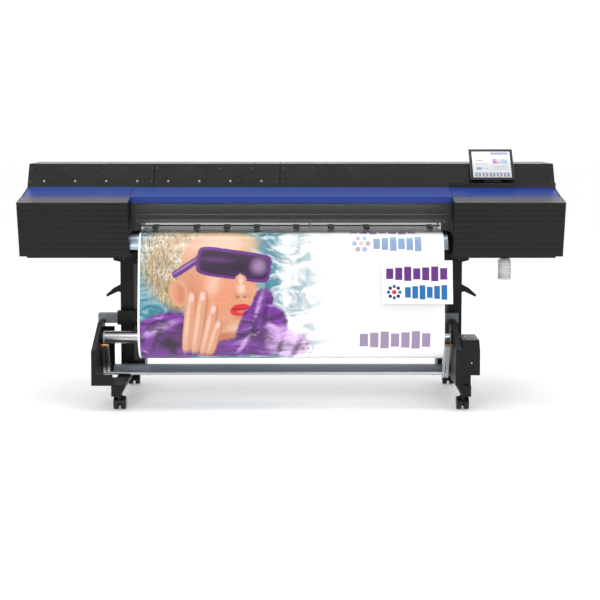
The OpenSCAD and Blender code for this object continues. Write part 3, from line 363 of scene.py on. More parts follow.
def patch_group():
    """A soft-edged shape on a flat print: an ellipse, or nearer a box as Squareness grows."""
    tree, given, out = start_group(
        "Print Patch",
        [("Point", "vector", (0, 0, 0)), ("Centre", "vector", (0, 0, 0)), ("Size", "vector", (1, 1, 1)),
         ("Turn", "value", 0.0), ("Squareness", "value", 2.0), ("Softness", "value", 0.05)],
        [("Mask", "value")])
    turn = tree.nodes.new("ShaderNodeVectorRotate")
    turn.rotation_type = "Z_AXIS"
    link(tree, vector_math(tree, "SUBTRACT", given.outputs["Point"], given.outputs["Centre"]), turn.inputs["Vector"])
    link(tree, times(tree, given.outputs["Turn"], -1.0), turn.inputs["Angle"])
    across, down, _ = split(tree, vector_math(tree, "DIVIDE", turn.outputs[0], given.outputs["Size"]))
    powers = [math_node(tree, "POWER", math_node(tree, "ABSOLUTE", part), given.outputs["Squareness"])
              for part in (across, down)]
    reach = math_node(tree, "POWER", math_node(tree, "ADD", *powers),
                      math_node(tree, "DIVIDE", 1.0, given.outputs["Squareness"]))
    inner = math_node(tree, "SUBTRACT", 1.0, given.outputs["Softness"])
    outer = math_node(tree, "ADD", 1.0, given.outputs["Softness"])
    link(tree, ramp(tree, reach, inner, outer, 1.0, 0.0), out.inputs["Mask"])
    return tree


GROUPS = {}


def shared(maker):
    """The group that a maker builds, made once."""
    if maker not in GROUPS:
        GROUPS[maker] = maker()
    return GROUPS[maker]


def use_group(tree, maker, **values):
    """Places a shared group in a material; values are sockets or numbers by input name."""
    node = tree.nodes.new("ShaderNodeGroup")
    node.node_tree = shared(maker)
    for label, value in values.items():
        feed(tree, value, node.inputs[label.replace("_", " ")])
    return node


# ---------------------------------------------------------------- materials

MATERIALS = {}


def start_material(name, **numbers):
    """A material with one shader; the numbers are set on its own sockets."""
    material = bpy.data.materials.new(name)
    MATERIALS[name] = material
    material.use_nodes = True
    tree = material.node_tree
    shader = tree.nodes["Principled BSDF"]
    for label, value in numbers.items():
        shader.inputs[label.replace("_", " ")].default_value = value
    point = tree.nodes.new("ShaderNodeTexCoord").outputs["Object"]
    return material, tree, shader, point


def wear(material, group):
    """Joins a finish group to the material's shader."""
    shader = material.node_tree.nodes["Principled BSDF"]
    for label, target in (("Colour", "Base Color"), ("Roughness", "Roughness"), ("Normal", "Normal")):
        link(material.node_tree, group.outputs[label], shader.inputs[target])
    return material


def worn_group(material):
    """The finish group that a material wears, and the height and depth of the point it is fed with."""
    group = material.node_tree.nodes["Principled BSDF"].inputs["Base Color"].links[0].from_node
    _, depth, height = split(material.node_tree, group.inputs["Point"].links[0].from_socket)
    return group, height, depth


def moulded(name, colour, roughness=0.42, size=900.0, depth=0.12, dust=0.05, coat=0.0, metallic=0.0, specular=0.26):
    """Moulded plastic or powder coat with a fine grain."""
    material, tree, _, point = start_material(
        name, Metallic=metallic, Coat_Weight=coat, Coat_Roughness=0.15, Specular_IOR_Level=specular)
    grain = use_group(tree, grain_group, Point=point, Size=size, Depth=depth, Roughness=roughness, Dust=dust,
                      Colour=colour if isinstance(colour, bpy.types.NodeSocket) else rgba(colour))
    return wear(material, grain)


def brushed(name, colour, roughness=0.3, depth=0.2, metallic=1.0):
    """Brushed metal with streaks along X."""
    material, tree, _, point = start_material(name, Metallic=metallic)
    streaks = use_group(tree, streak_group, Point=point, Colour=rgba(colour), Roughness=roughness, Depth=depth)
    return wear(material, streaks)


def cover_material(name, finish, cap_low, cap_back):
    """Black ribbed cover whose top band in front of the slope is grey."""
    material = moulded(name, finish.cover_black, roughness=0.36, size=700.0, depth=0.10, dust=0.03)
    tree = material.node_tree
    grain, height, depth = worn_group(material)
    over = ramp(tree, height, cap_low - 0.0005, cap_low + 0.0005)
    before = ramp(tree, depth, cap_back + 0.0005, cap_back + 0.0015, 1.0, 0.0)
    link(tree, mix_colour(tree, times(tree, over, before), finish.cover_black, finish.cap_grey), grain.inputs["Colour"])
    return material


def glass_material(name, colour, roughness=0.03, alpha=0.30):
    """Thin clear sheet: mostly see-through with a clear reflection."""
    material, tree, shader, point = start_material(
        name, IOR=1.49, Specular_IOR_Level=0.5, Coat_Weight=0.15, Coat_Roughness=0.02)
    shader.inputs["Base Color"].default_value = rgba(colour)
    smear = noise(tree, stretched(tree, point, (2.0, 14.0, 14.0)), 1.0, detail=4.0).outputs["Fac"]
    link(tree, ramp(tree, smear, 0.3, 0.7, roughness, roughness + 0.05), shader.inputs["Roughness"])
    link(tree, ramp(tree, smear, 0.3, 0.8, alpha, alpha + 0.04), shader.inputs["Alpha"])
    return material


def darken_below(material, upper, lower, edge):
    """A moulded finish with another colour under a height: the window's dark surround."""
    tree = material.node_tree
    grain, height, _ = worn_group(material)
    under = ramp(tree, height, edge - 0.0003, edge + 0.0003, 1.0, 0.0)
    link(tree, mix_colour(tree, under, upper, lower), grain.inputs["Colour"])


def beam_material(name):
    """The guide beam: brushed metal with light and shade painted on in bands: painted highlights at the foot and the
    head, painted shade between.
    """
    material = brushed(name, (0.5, 0.5, 0.5), roughness=0.34, metallic=0.85)
    tree = material.node_tree
    streaks, height, _ = worn_group(material)
    # Painted shade: dark low on the beam, where the bay lies in shadow, lightening to a painted highlight at the head
    colour = mix_colour(tree, ramp(tree, height, mm(1030), mm(1085)), (0.055, 0.056, 0.058), (0.36, 0.37, 0.39))
    # Painted highlight: a light band at the beam's foot
    colour = mix_colour(tree, ramp(tree, height, mm(994), mm(998), 1.0, 0.0), colour, (0.42, 0.43, 0.44))
    # Painted reflection: a thin bright line on the dark band, the rail mirrored in the beam
    rail = times(tree, ramp(tree, height, mm(1020), mm(1021)), ramp(tree, height, mm(1025), mm(1026.5), 1.0, 0.0))
    link(tree, mix_colour(tree, rail, colour, (0.55, 0.56, 0.57)), streaks.inputs["Colour"])
    return material


def lit_material(name, colour, strength):
    """A small lamp or screen that glows."""
    material, tree, shader, point = start_material(name, Roughness=0.2, Emission_Strength=strength)
    hot = mix_colour(tree, ramp(tree, noise(tree, point, 90.0).outputs["Fac"], 0.2, 0.8, 0.0, 0.15),
                     colour, (1.0, 1.0, 1.0))
    link(tree, hot, shader.inputs["Base Color"])
    link(tree, hot, shader.inputs["Emission Color"])
    return material


def row_group():
    """A row of plain bars of uneven height: stands in for a line of display print."""
    tree, given, out = start_group(
        "Block Row",
        [("Point", "vector", (0, 0, 0)), ("Corner", "vector", (0, 0, 0)), ("Cell", "vector", (0.05, 0.08, 1)),
         ("Count", "value", 7.0)],
        [("Mask", "value")])
    from_corner = vector_math(tree, "SUBTRACT", given.outputs["Point"], given.outputs["Corner"])
    along, down, _ = split(tree, vector_math(tree, "DIVIDE", from_corner, given.outputs["Cell"]))
    index = math_node(tree, "FLOOR", along)
    across = math_node(tree, "ABSOLUTE", math_node(tree, "SUBTRACT", math_node(tree, "FRACT", along), 0.5))
    body = math_node(tree, "LESS_THAN", across, 0.40)
    height = math_node(tree, "ABSOLUTE", math_node(tree, "SUBTRACT", down, 0.5))
    reach = math_node(tree, "MULTIPLY_ADD", math_node(tree, "FRACT", times(tree, index, 0.37)), 0.16, 0.34)
    tall = math_node(tree, "LESS_THAN", height, reach)
    inside = times(tree, math_node(tree, "GREATER_THAN", along, 0.0),
                   math_node(tree, "LESS_THAN", along, given.outputs["Count"]))
    link(tree, times(tree, body, tall, inside), out.inputs["Mask"])
    return tree


# The print's colours, named once
INK = {
    "skin": (0.70, 0.33, 0.19), "skin_light": (0.88, 0.60, 0.46), "skin_shade": (0.52, 0.19, 0.10),
    "blush": (0.80, 0.27, 0.15), "hair": (0.50, 0.33, 0.15), "hair_dark": (0.14, 0.075, 0.03),
    "hair_light": (0.80, 0.66, 0.43), "plum": (0.045, 0.009, 0.065), "violet": (0.13, 0.022, 0.22),
    "lilac": (0.52, 0.32, 0.60), "deep": (0.02, 0.004, 0.03), "red": (0.68, 0.02, 0.025),
    "red_light": (0.88, 0.16, 0.14), "teal": (0.03, 0.19, 0.26), "teal_light": (0.36, 0.66, 0.71),
    "white": (0.95, 0.95, 0.955), "shadow": (0.50, 0.51, 0.55), "blue": (0.012, 0.15, 0.42),
    "black": (0.02, 0.02, 0.03), "nail": (0.90, 0.56, 0.55),
}

# Shapes of the portrait, back to front: ink, centre, half sizes, turn in degrees, squareness, softness, strength.
# Metres across the web from its left edge, and down the web from the platen.
PORTRAIT_BACK = [
    ("hair_light", (0.155, 0.10), (0.10, 0.11), 0, 2.0, 0.5, 0.25),
    ("hair", (0.245, 0.235), (0.185, 0.215), -20, 2.2, 0.10, 1.0),
    ("hair", (0.40, 0.075), (0.23, 0.10), 6, 2.0, 0.18, 1.0),
    ("hair_dark", (0.125, 0.215), (0.035, 0.10), 12, 2.0, 0.5, 0.75),
    ("hair_dark", (0.20, 0.42), (0.04, 0.10), -18, 2.0, 0.5, 0.5),
    ("hair_light", (0.33, 0.085), (0.13, 0.05), 4, 2.0, 0.7, 0.6),
]
PORTRAIT_FACE = [
    ("skin_shade", (0.40, 0.56), (0.13, 0.17), 0, 2.6, 0.12, 1.0),
    ("skin", (0.43, 0.285), (0.195, 0.255), -14, 2.3, 0.04, 1.0),
    ("skin", (0.475, 0.455), (0.135, 0.105), -16, 2.4, 0.06, 1.0),
    ("skin_light", (0.44, 0.105), (0.15, 0.075), -4, 2.0, 0.8, 0.8),
    ("blush", (0.375, 0.355), (0.095, 0.075), -12, 2.0, 0.9, 0.55),
    ("skin_shade", (0.30, 0.40), (0.05, 0.14), -14, 2.0, 0.9, 0.5),
    ("skin_light", (0.525, 0.53), (0.05, 0.03), -8, 2.0, 0.8, 0.7),
    ("skin_shade", (0.50, 0.515), (0.11, 0.02), -12, 2.0, 0.8, 0.4),
    ("blush", (0.46, 0.40), (0.05, 0.10), 24, 2.0, 0.9, 0.45),
    ("skin_light", (0.40, 0.30), (0.035, 0.06), 14, 2.0, 0.9, 0.65),
    ("skin", (0.215, 0.355), (0.048, 0.072), -10, 2.2, 0.08, 1.0),
    ("skin_shade", (0.222, 0.36), (0.027, 0.045), -10, 2.0, 0.45, 0.75),
    ("blush", (0.205, 0.355), (0.014, 0.045), -10, 2.0, 0.5, 0.6),
    ("skin_light", (0.545, 0.31), (0.020, 0.075), -10, 2.2, 0.7, 0.85),
    ("skin_shade", (0.548, 0.372), (0.043, 0.017), -6, 2.2, 0.6, 0.5),
    ("hair_dark", (0.530, 0.377), (0.010, 0.0055), -8, 2.0, 0.4, 0.75),
    ("hair_dark", (0.566, 0.377), (0.008, 0.0050), -4, 2.0, 0.4, 0.75),
    ("skin_shade", (0.550, 0.401), (0.012, 0.012), 0, 2.0, 0.9, 0.4),
    ("red", (0.533, 0.432), (0.033, 0.016), -10, 2.2, 0.12, 1.0),
    ("red", (0.567, 0.430), (0.031, 0.016), 8, 2.2, 0.12, 1.0),
    ("red", (0.550, 0.449), (0.060, 0.028), -3, 2.3, 0.08, 1.0),
    ("deep", (0.550, 0.441), (0.054, 0.0030), -3, 2.0, 0.5, 0.8),
    ("red_light", (0.552, 0.454), (0.026, 0.008), -3, 2.0, 0.8, 0.85),
    ("skin_shade", (0.550, 0.484), (0.036, 0.010), -3, 2.0, 0.9, 0.45),
]
PORTRAIT_GLASSES = [
    ("violet", (0.262, 0.215), (0.092, 0.019), -33, 6.0, 0.06, 1.0),
    ("lilac", (0.255, 0.212), (0.075, 0.005), -33, 3.0, 0.6, 0.6),
    ("violet", (0.508, 0.205), (0.198, 0.078), 8, 6.0, 0.02, 1.0),
    ("plum", (0.510, 0.206), (0.182, 0.062), 8, 6.0, 0.03, 1.0),
    ("deep", (0.455, 0.190), (0.130, 0.042), 8, 4.0, 0.35, 0.9),
    ("lilac", (0.640, 0.215), (0.034, 0.034), 14, 2.2, 0.8, 0.6),
    ("violet", (0.420, 0.180), (0.070, 0.012), 4, 2.2, 0.8, 0.7),
    ("deep", (0.40, 0.232), (0.060, 0.018), 6, 2.2, 0.8, 0.6),
    ("skin", (0.545, 0.288), (0.030, 0.030), 0, 2.2, 0.15, 1.0),
    ("skin_light", (0.546, 0.290), (0.012, 0.030), -6, 2.0, 0.7, 0.8),
]
JACKET = [
    ("violet", (0.145, 0.63), (0.19, 0.165), -18, 2.4, 0.06, 1.0),
    ("plum", (0.20, 0.60), (0.12, 0.045), -28, 2.0, 0.7, 0.9),
    ("lilac", (0.115, 0.545), (0.085, 0.018), -24, 2.0, 0.8, 0.7),
    ("violet", (0.655, 0.56), (0.125, 0.155), 22, 2.6, 0.08, 1.0),
    ("plum", (0.62, 0.62), (0.13, 0.05), -30, 2.0, 0.7, 0.9),
    ("plum", (0.665, 0.455), (0.045, 0.055), 20, 2.6, 0.3, 0.8),
    ("lilac", (0.69, 0.52), (0.06, 0.013), 26, 2.0, 0.8, 0.8),
    ("lilac", (0.80, 0.63), (0.11, 0.09), 18, 2.2, 0.35, 0.85),
    ("plum", (0.84, 0.66), (0.016, 0.07), 24, 2.0, 0.6, 0.7),
    ("plum", (0.75, 0.66), (0.014, 0.06), 16, 2.0, 0.6, 0.6),
    ("violet", (0.50, 0.66), (0.16, 0.06), -8, 2.4, 0.2, 1.0),
    ("violet", (0.655, 0.44), (0.055, 0.11), 14, 3.0, 0.12, 1.0),
    ("lilac", (0.640, 0.42), (0.010, 0.075), 16, 2.0, 0.8, 0.6),
    ("deep", (0.675, 0.46), (0.012, 0.080), 12, 2.0, 0.8, 0.7),
    ("deep", (0.60, 0.56), (0.014, 0.085), 28, 2.0, 0.8, 0.7),
    ("lilac", (0.56, 0.63), (0.012, 0.055), 34, 2.0, 0.8, 0.6),
    ("deep", (0.10, 0.60), (0.012, 0.075), 22, 2.0, 0.8, 0.7),
    ("deep", (0.19, 0.65), (0.012, 0.070), -12, 2.0, 0.8, 0.7),
]
# One finger each: lower end, upper end, half width
FINGERS = [
    ((0.255, 0.66), (0.285, 0.375), 0.026),
    ((0.300, 0.67), (0.345, 0.370), 0.026),
    ((0.345, 0.68), (0.400, 0.440), 0.025),
    ((0.375, 0.69), (0.425, 0.520), 0.022),
]


def print_point(tree):
    """The print coordinates, in metres: the point, and how far along and down it lies."""
    flat = tree.nodes.new("ShaderNodeUVMap")
    flat.uv_map = "Print"
    along, down, _ = split(tree, flat.outputs["UV"])
    return flat.outputs["UV"], along, down


def print_ink(tree, base, mask, ink, strength=1.0):
    """Prints an ink over a colour through a mask."""
    if strength < 1.0:
        mask = times(tree, mask, strength)
    return mix_colour(tree, mask, base, INK[ink])


def paint(tree, base, point, shapes):
    """Lays soft shapes over a colour, one after another; returns the last colour."""
    for ink, centre, size, turn, square, soft, strength in shapes:
        patch = use_group(tree, patch_group, Point=point, Centre=(*centre, 0.0), Size=(*size, 1.0),
                          Turn=math.radians(turn), Squareness=square, Softness=soft)
        base = print_ink(tree, base, patch.outputs["Mask"], ink, strength)
    return base


def warped(tree, point, scale, amount, detail=3.0):
    """The print point pushed about by noise, so that painted edges waver."""
    cloud = noise(tree, point, scale, detail=detail).outputs["Color"]
    push = vector_math(tree, "MULTIPLY_ADD", cloud, (amount, amount, 0.0), (-amount / 2, -amount / 2, 0.0))
    return vector_math(tree, "ADD", point, push)


def window_mask(tree, along, down, left, right, top, bottom, soft=0.002):
    """A box on the print with edges softened a little."""
    sides = ((along, left, 0.0, 1.0), (along, right, 1.0, 0.0), (down, top, 0.0, 1.0), (down, bottom, 1.0, 0.0))
    return times(tree, *(ramp(tree, value, edge - soft, edge + soft, *ends) for value, edge, *ends in sides))


def paint_fingers(tree, base, point):
    """The hand at the cheek: each finger a long rounded shape with a shaded edge and a pale nail."""
    for low, high, half in FINGERS:
        middle = ((low[0] + high[0]) / 2, (low[1] + high[1]) / 2)
        length = math.hypot(high[0] - low[0], high[1] - low[1]) / 2 + half * 0.6
        lean = math.degrees(math.atan2(high[1] - low[1], high[0] - low[0])) + 90
        tip = (high[0], high[1] + half * 0.1)
        base = paint(tree, base, point, [
            ("skin_shade", (middle[0] + half * 0.25, middle[1]), (half * 1.12, length * 1.02), lean, 3.6, 0.12, 0.85),
            ("skin", middle, (half, length), lean, 3.6, 0.10, 1.0),
            ("skin_light", (middle[0] - half * 0.3, middle[1]), (half * 0.35, length * 0.8), lean, 2.4, 0.8, 0.7),
            ("nail", tip, (half * 0.5, half * 0.85), lean, 2.6, 0.3, 0.9),
        ])
    return base


def paint_rows(tree, base, point, rows, strength=1.0):
    """Rows of plain bars: ink, top left corner, cell and count."""
    for ink, corner, cell, count in rows:
        row = use_group(tree, row_group, Point=point, Corner=(*corner, 0.0), Cell=(*cell, 1.0), Count=count)
        base = print_ink(tree, base, row.outputs["Mask"], ink, strength)
    return base


def paint_petals(tree, base, point, centre, ring, petal, inks, count, soft, strength):
    """A ring of dots in two inks by turns."""
    for step in range(count):
        angle = math.tau * step / count
        spot = (centre[0] + ring * math.cos(angle), centre[1] + ring * math.sin(angle))
        base = paint(tree, base, point, [(inks[step % 2], spot, (petal, petal), 0, 2.0, soft, strength)])
    return base


def paint_labels(tree, base, point):
    """The faded label next to the portrait: rows of bars and a ring of petals."""
    rows = [("violet", (1.12, -0.055), (0.052, 0.088), 7.0), ("blue", (1.245, 0.048), (0.044, 0.088), 6.0),
            ("violet", (1.17, 0.555), (0.055, 0.105), 7.0)]
    base = paint_rows(tree, base, point, rows, 0.75)
    base = paint_petals(tree, base, point, (1.185, 0.092), 0.036, 0.014, ("violet", "blue"), 6, 0.1, 0.6)
    return paint(tree, base, point, [("red", (1.185, 0.092), (0.012, 0.012), 0, 2.0, 0.1, 0.5)])


def pleated(tree, colour, point):
    """Crumples whatever is purple: bright ridges and dark folds of a padded jacket."""
    parts = tree.nodes.new("ShaderNodeSeparateColor")
    link(tree, colour, parts.inputs[0])
    over_green = math_node(tree, "SUBTRACT", parts.outputs["Blue"], parts.outputs["Green"])
    warm = math_node(tree, "SUBTRACT", parts.outputs["Red"], parts.outputs["Green"])
    purple = times(tree, ramp(tree, over_green, 0.02, 0.05), ramp(tree, warm, 0.0, 0.03))
    bent = warped(tree, point, 5.0, 0.16, detail=4.0)
    folds = noise(tree, stretched(tree, bent, (1.0, 2.6, 1.0)), 9.0, detail=6.0, rough=0.55, warp=0.8).outputs["Fac"]
    folded = scaled(tree, colour, ramp(tree, folds, 0.30, 0.62, 0.25, 1.7))
    ridged = mix_colour(tree, ramp(tree, folds, 0.60, 0.74, 0.0, 0.65), folded, (0.78, 0.62, 0.84))
    return mix_colour(tree, purple, colour, ridged)


# The web's faces are split by region, left, right, top and bottom, so that no one shader grows too large
REGIONS = ((-1.0, 0.36, -9.0, 0.33), (0.36, 1.0, -9.0, 0.33), (-1.0, 0.24, 0.33, 9.0), (0.24, 0.46, 0.33, 9.0),
           (0.46, 1.0, 0.33, 9.0), (1.0, 9.0, -9.0, 9.0))


def near(shapes, region, margin=0.06):
    """The shapes that reach into a region of the print."""
    left, right, top, bottom = region
    kept = []
    for shape in shapes:
        (x, y), size, soft = shape[1], shape[2], shape[5]
        reach = max(size) * (1 + soft) + margin
        if x + reach > left and x - reach < right and y + reach > top and y - reach < bottom:
            kept.append(shape)
    return kept


def web_material(name, border, region):
    """White film printed with a portrait, splashes of teal and a faded label; one region of it."""
    material, tree, shader, _ = start_material(name, Coat_Weight=0.25, Coat_Roughness=0.12)
    point, along, down = print_point(tree)
    loose = warped(tree, point, 7.0, 0.055, detail=5.0)
    firm = warped(tree, point, 16.0, 0.007)
    # Water behind the head: pale teal that fades to white at the right
    swirl = noise(tree, stretched(tree, loose, (2.2, 3.8, 1.0)), 2.4, detail=7.0, rough=0.62, warp=1.6).outputs["Fac"]
    water = mix_colour(tree, ramp(tree, swirl, 0.26, 0.56), (0.42, 0.70, 0.76), INK["teal"])
    water = mix_colour(tree, ramp(tree, swirl, 0.55, 0.72, 0.0, 0.6), water, INK["teal_light"])
    fade = math_node(tree, "ADD", along, ramp(tree, swirl, 0.3, 0.7, 0.16, -0.20))
    colour = mix_colour(tree, ramp(tree, fade, 0.55, 0.98), water, INK["white"])
    # Hair, with strands that follow the head
    strand = noise(tree, stretched(tree, loose, (14.0, 3.0, 1.0)), 4.0, detail=8.0, rough=0.7, warp=2.4)
    colour = paint(tree, colour, loose, near(PORTRAIT_BACK, region))
    hair = mix_colour(tree, ramp(tree, strand.outputs["Fac"], 0.36, 0.64), INK["hair_dark"], INK["hair_light"])
    on_hair = use_group(tree, patch_group, Point=loose, Centre=(0.27, 0.18, 0), Size=(0.27, 0.26, 1),
                        Turn=math.radians(-14), Squareness=2.2, Softness=0.14)
    colour = mix_colour(tree, times(tree, on_hair.outputs["Mask"], 0.72), colour, hair)
    # A fine white net over the hair
    net = tree.nodes.new("ShaderNodeTexVoronoi")
    net.feature = "DISTANCE_TO_EDGE"
    link(tree, warped(tree, point, 12.0, 0.03), net.inputs["Vector"])
    net.inputs["Scale"].default_value = 46.0
    threads = ramp(tree, net.outputs["Distance"], 0.02, 0.09, 1.0, 0.0)
    patchy = ramp(tree, noise(tree, point, 9.0, detail=4.0).outputs["Fac"], 0.42, 0.62)
    veil = use_group(tree, patch_group, Point=loose, Centre=(0.20, 0.11, 0), Size=(0.21, 0.16, 1),
                     Turn=math.radians(-20), Squareness=2.0, Softness=0.3)
    lace = times(tree, threads, patchy, veil.outputs["Mask"], 0.85)
    colour = mix_colour(tree, lace, colour, (0.95, 0.96, 0.97))
    for shapes in (PORTRAIT_FACE, PORTRAIT_GLASSES, JACKET):
        colour = paint(tree, colour, firm, near(shapes, region))
    if region[0] < 0.46 and region[3] > 0.5:
        colour = paint_fingers(tree, colour, firm)
    # Quilting and sheen of the jacket, and pores in the skin
    tone = noise(tree, warped(tree, point, 9.0, 0.05), 38.0, detail=5.0, rough=0.6).outputs["Fac"]
    printed = ramp(tree, fade, 0.82, 0.95, 1.0, 0.0)
    shade = ramp(tree, tone, 0.3, 0.7, 0.94, 1.06)
    colour = mix_colour(tree, times(tree, printed, 0.8), colour, scaled(tree, colour, shade))
    if region[1] <= 1.0 and region[3] > 0.5:
        colour = pleated(tree, colour, point)
    if region[0] >= 1.0:
        colour = paint_labels(tree, colour, point)
    # Faint contour at the right, and a painted shadow that the cut label casts on the web under it
    colour = paint(tree, colour, firm, [
        ("shadow", (1.14, 0.40), (0.055, 0.12), 8, 2.2, 0.9, 0.22),
        # Painted shadow: a soft grey box under the raised cut label
        ("shadow", (1.44, 0.335), (0.215, 0.15), 0, 5.0, 0.5, 0.30),
    ])
    # Unprinted edges, and bare film before the carriage's line and below the print
    edge = ramp(tree, along, border - 0.0008, border + 0.0008)
    bare = ramp(tree, down, -0.215, -0.21)
    end = ramp(tree, down, 1.42, 1.421, 1.0, 0.0)
    link(tree, mix_colour(tree, times(tree, edge, bare, end), INK["white"], colour), shader.inputs["Base Color"])
    ripple = noise(tree, stretched(tree, point, (5.0, 1.2, 1.0)), 1.0, detail=2.0).outputs["Fac"]
    link(tree, bump(tree, ripple, 0.004, 0.35), shader.inputs["Normal"])
    link(tree, ramp(tree, tone, 0.3, 0.7, 0.30, 0.40), shader.inputs["Roughness"])
    return material


def label_material():
    """A crisp printed label: rows of rounded blocks, a ring of petals and a fine frame."""
    material, tree, shader, _ = start_material("cut_label_print", Coat_Weight=0.2, Coat_Roughness=0.15)
    point, along, down = print_point(tree)
    frame_out = window_mask(tree, along, down, 0.012, 0.365, 0.012, 0.225, 0.0004)
    frame_in = window_mask(tree, along, down, 0.0135, 0.3635, 0.0135, 0.2235, 0.0004)
    line = math_node(tree, "SUBTRACT", frame_out, frame_in, clamp=True)
    colour = print_ink(tree, INK["white"], line, "shadow", 0.5)
    rows = [("violet", (0.020, 0.030), (0.0476, 0.082), 7.0), ("blue", (0.120, 0.128), (0.0385, 0.082), 6.0)]
    colour = paint_rows(tree, colour, point, rows)
    colour = paint_petals(tree, colour, point, (0.067, 0.168), 0.030, 0.0095, ("blue", "plum"), 8, 0.05, 1.0)
    colour = paint(tree, colour, point, [("red", (0.067, 0.168), (0.012, 0.012), 0, 2.0, 0.05, 1.0)])
    link(tree, colour, shader.inputs["Base Color"])
    tone = noise(tree, point, 30.0, detail=4.0).outputs["Fac"]
    link(tree, ramp(tree, tone, 0.3, 0.7, 0.28, 0.38), shader.inputs["Roughness"])
    return material


def screen_material():
    """The tablet's display: a light page with a dark bar, side buttons and a roll icon."""
    material, tree, shader, _ = start_material("tablet_screen", Roughness=0.12, Coat_Weight=1.0, Coat_Roughness=0.02,
                                               Emission_Strength=0.06)
    point, along, down = print_point(tree)
    page = mix_colour(tree, ramp(tree, down, 0.0, 0.17), (0.93, 0.95, 0.97), (0.80, 0.85, 0.90))
    boxes = [((0.13, 0.19, 0.43), (0.105, 0.200, 0.006, 0.020)), ((0.55, 0.6, 0.66), (0.004, 0.206, 0.0, 0.0022)),
             ((0.98, 0.99, 1.0), (0.008, 0.100, 0.030, 0.130)), ((0.98, 0.99, 1.0), (0.106, 0.202, 0.030, 0.130)),
             ((0.66, 0.71, 0.77), (0.014, 0.094, 0.037, 0.041)), ((0.72, 0.77, 0.83), (0.112, 0.196, 0.037, 0.041)),
             ((0.42, 0.1, 0.48), (0.112, 0.136, 0.050, 0.078)), ((0.78, 0.12, 0.16), (0.140, 0.150, 0.058, 0.078)),
             ((0.25, 0.5, 0.8), (0.155, 0.194, 0.050, 0.078)), ((0.8, 0.83, 0.87), (0.112, 0.196, 0.088, 0.122)),
             ((0.12, 0.14, 0.17), (0.020, 0.060, 0.054, 0.060)), ((0.55, 0.58, 0.62), (0.020, 0.086, 0.066, 0.069)),
             ((0.55, 0.58, 0.62), (0.020, 0.078, 0.076, 0.079)), ((0.55, 0.58, 0.62), (0.020, 0.082, 0.086, 0.089)),
             ((0.1, 0.45, 0.7), (0.020, 0.050, 0.102, 0.118)), ((0.75, 0.78, 0.82), (0.056, 0.086, 0.102, 0.118))]
    for colour, (left, right, top, bottom) in boxes:
        page = mix_colour(tree, window_mask(tree, along, down, left, right, top, bottom, 0.0004), page, colour)
    for step in range(5):
        left = 0.012 + 0.039 * step
        key = window_mask(tree, along, down, left, left + 0.030, 0.139, 0.162, 0.0005)
        page = mix_colour(tree, key, page, (0.24, 0.30, 0.40))
    for step in range(5):
        spot = (0.027 + 0.039 * step, 0.150)
        patch = use_group(tree, patch_group, Point=point, Centre=(*spot, 0.0), Size=(0.006, 0.006, 1.0),
                          Turn=0.0, Squareness=2.0 + 2 * (step % 2), Softness=0.05)
        page = mix_colour(tree, patch.outputs["Mask"], page, (0.9, 0.93, 0.96))
    link(tree, scaled(tree, page, 0.58), shader.inputs["Base Color"])
    link(tree, page, shader.inputs["Emission Color"])
    smear = noise(tree, point, 25.0, detail=4.0).outputs["Fac"]
    link(tree, ramp(tree, smear, 0.4, 0.7, 0.10, 0.17), shader.inputs["Roughness"])
    return material


def make_finishes():
    """Every finish that a frame piece wears, by material slot."""
    finish = settings("printer_finish")
    trims_front = node_box("top_trims")[0].y
    cover_material("black_cover", finish, mm(1113), trims_front)
    moulded("hood_black", finish.cover_black, roughness=0.30, size=800.0, depth=0.08, dust=0.05, coat=0.15)
    moulded("blue_trim", finish.trim_blue, roughness=0.33, size=900.0, depth=0.07, dust=0.03, coat=0.12)
    darken_below(MATERIALS["blue_trim"], finish.trim_blue, (0.02, 0.02, 0.023), mm(1103.5))
    glass_material("clear_window", (0.03, 0.032, 0.036))
    moulded("black_steel", finish.steel_black, roughness=0.40, size=1300.0, depth=0.22, dust=0.10)
    moulded("grey_steel", finish.steel_grey, roughness=0.36, size=1100.0, depth=0.12, dust=0.06)
    brushed("aluminium", (0.66, 0.68, 0.70), roughness=0.32)
    beam_material("beam_metal")
    brushed("bright_steel", (0.60, 0.61, 0.62), roughness=0.22)
    moulded("rubber", (0.022, 0.021, 0.020), roughness=0.62, size=600.0, depth=0.3, dust=0.22)
    brushed("bronze", (0.52, 0.27, 0.10), roughness=0.30)
    moulded("black_plastic", (0.006, 0.006, 0.0062), roughness=0.34, size=900.0, depth=0.12, dust=0.06)
    brushed("apron_sheet", (0.30, 0.36, 0.43), roughness=0.35)
    brushed("tube_sleeve", (0.62, 0.63, 0.65), roughness=0.26, depth=0.08)
    moulded("tablet_body", (0.010, 0.011, 0.013), roughness=0.22, size=1500.0, depth=0.04, dust=0.02, coat=0.5)
    glass_material("clear_bottle", (0.85, 0.87, 0.86), roughness=0.25, alpha=0.5)
    lit_material("light_guide", (0.30, 0.36, 0.42), 0.12)
    moulded("grey_switch", (0.42, 0.43, 0.45), roughness=0.35)
    moulded("lever_blue", (0.02, 0.10, 0.42), roughness=0.35, coat=0.3)
    moulded("roll_vinyl", (0.80, 0.81, 0.80), roughness=0.38, size=300.0, depth=0.05)
    brushed("dark_metal", (0.16, 0.17, 0.18), roughness=0.30)


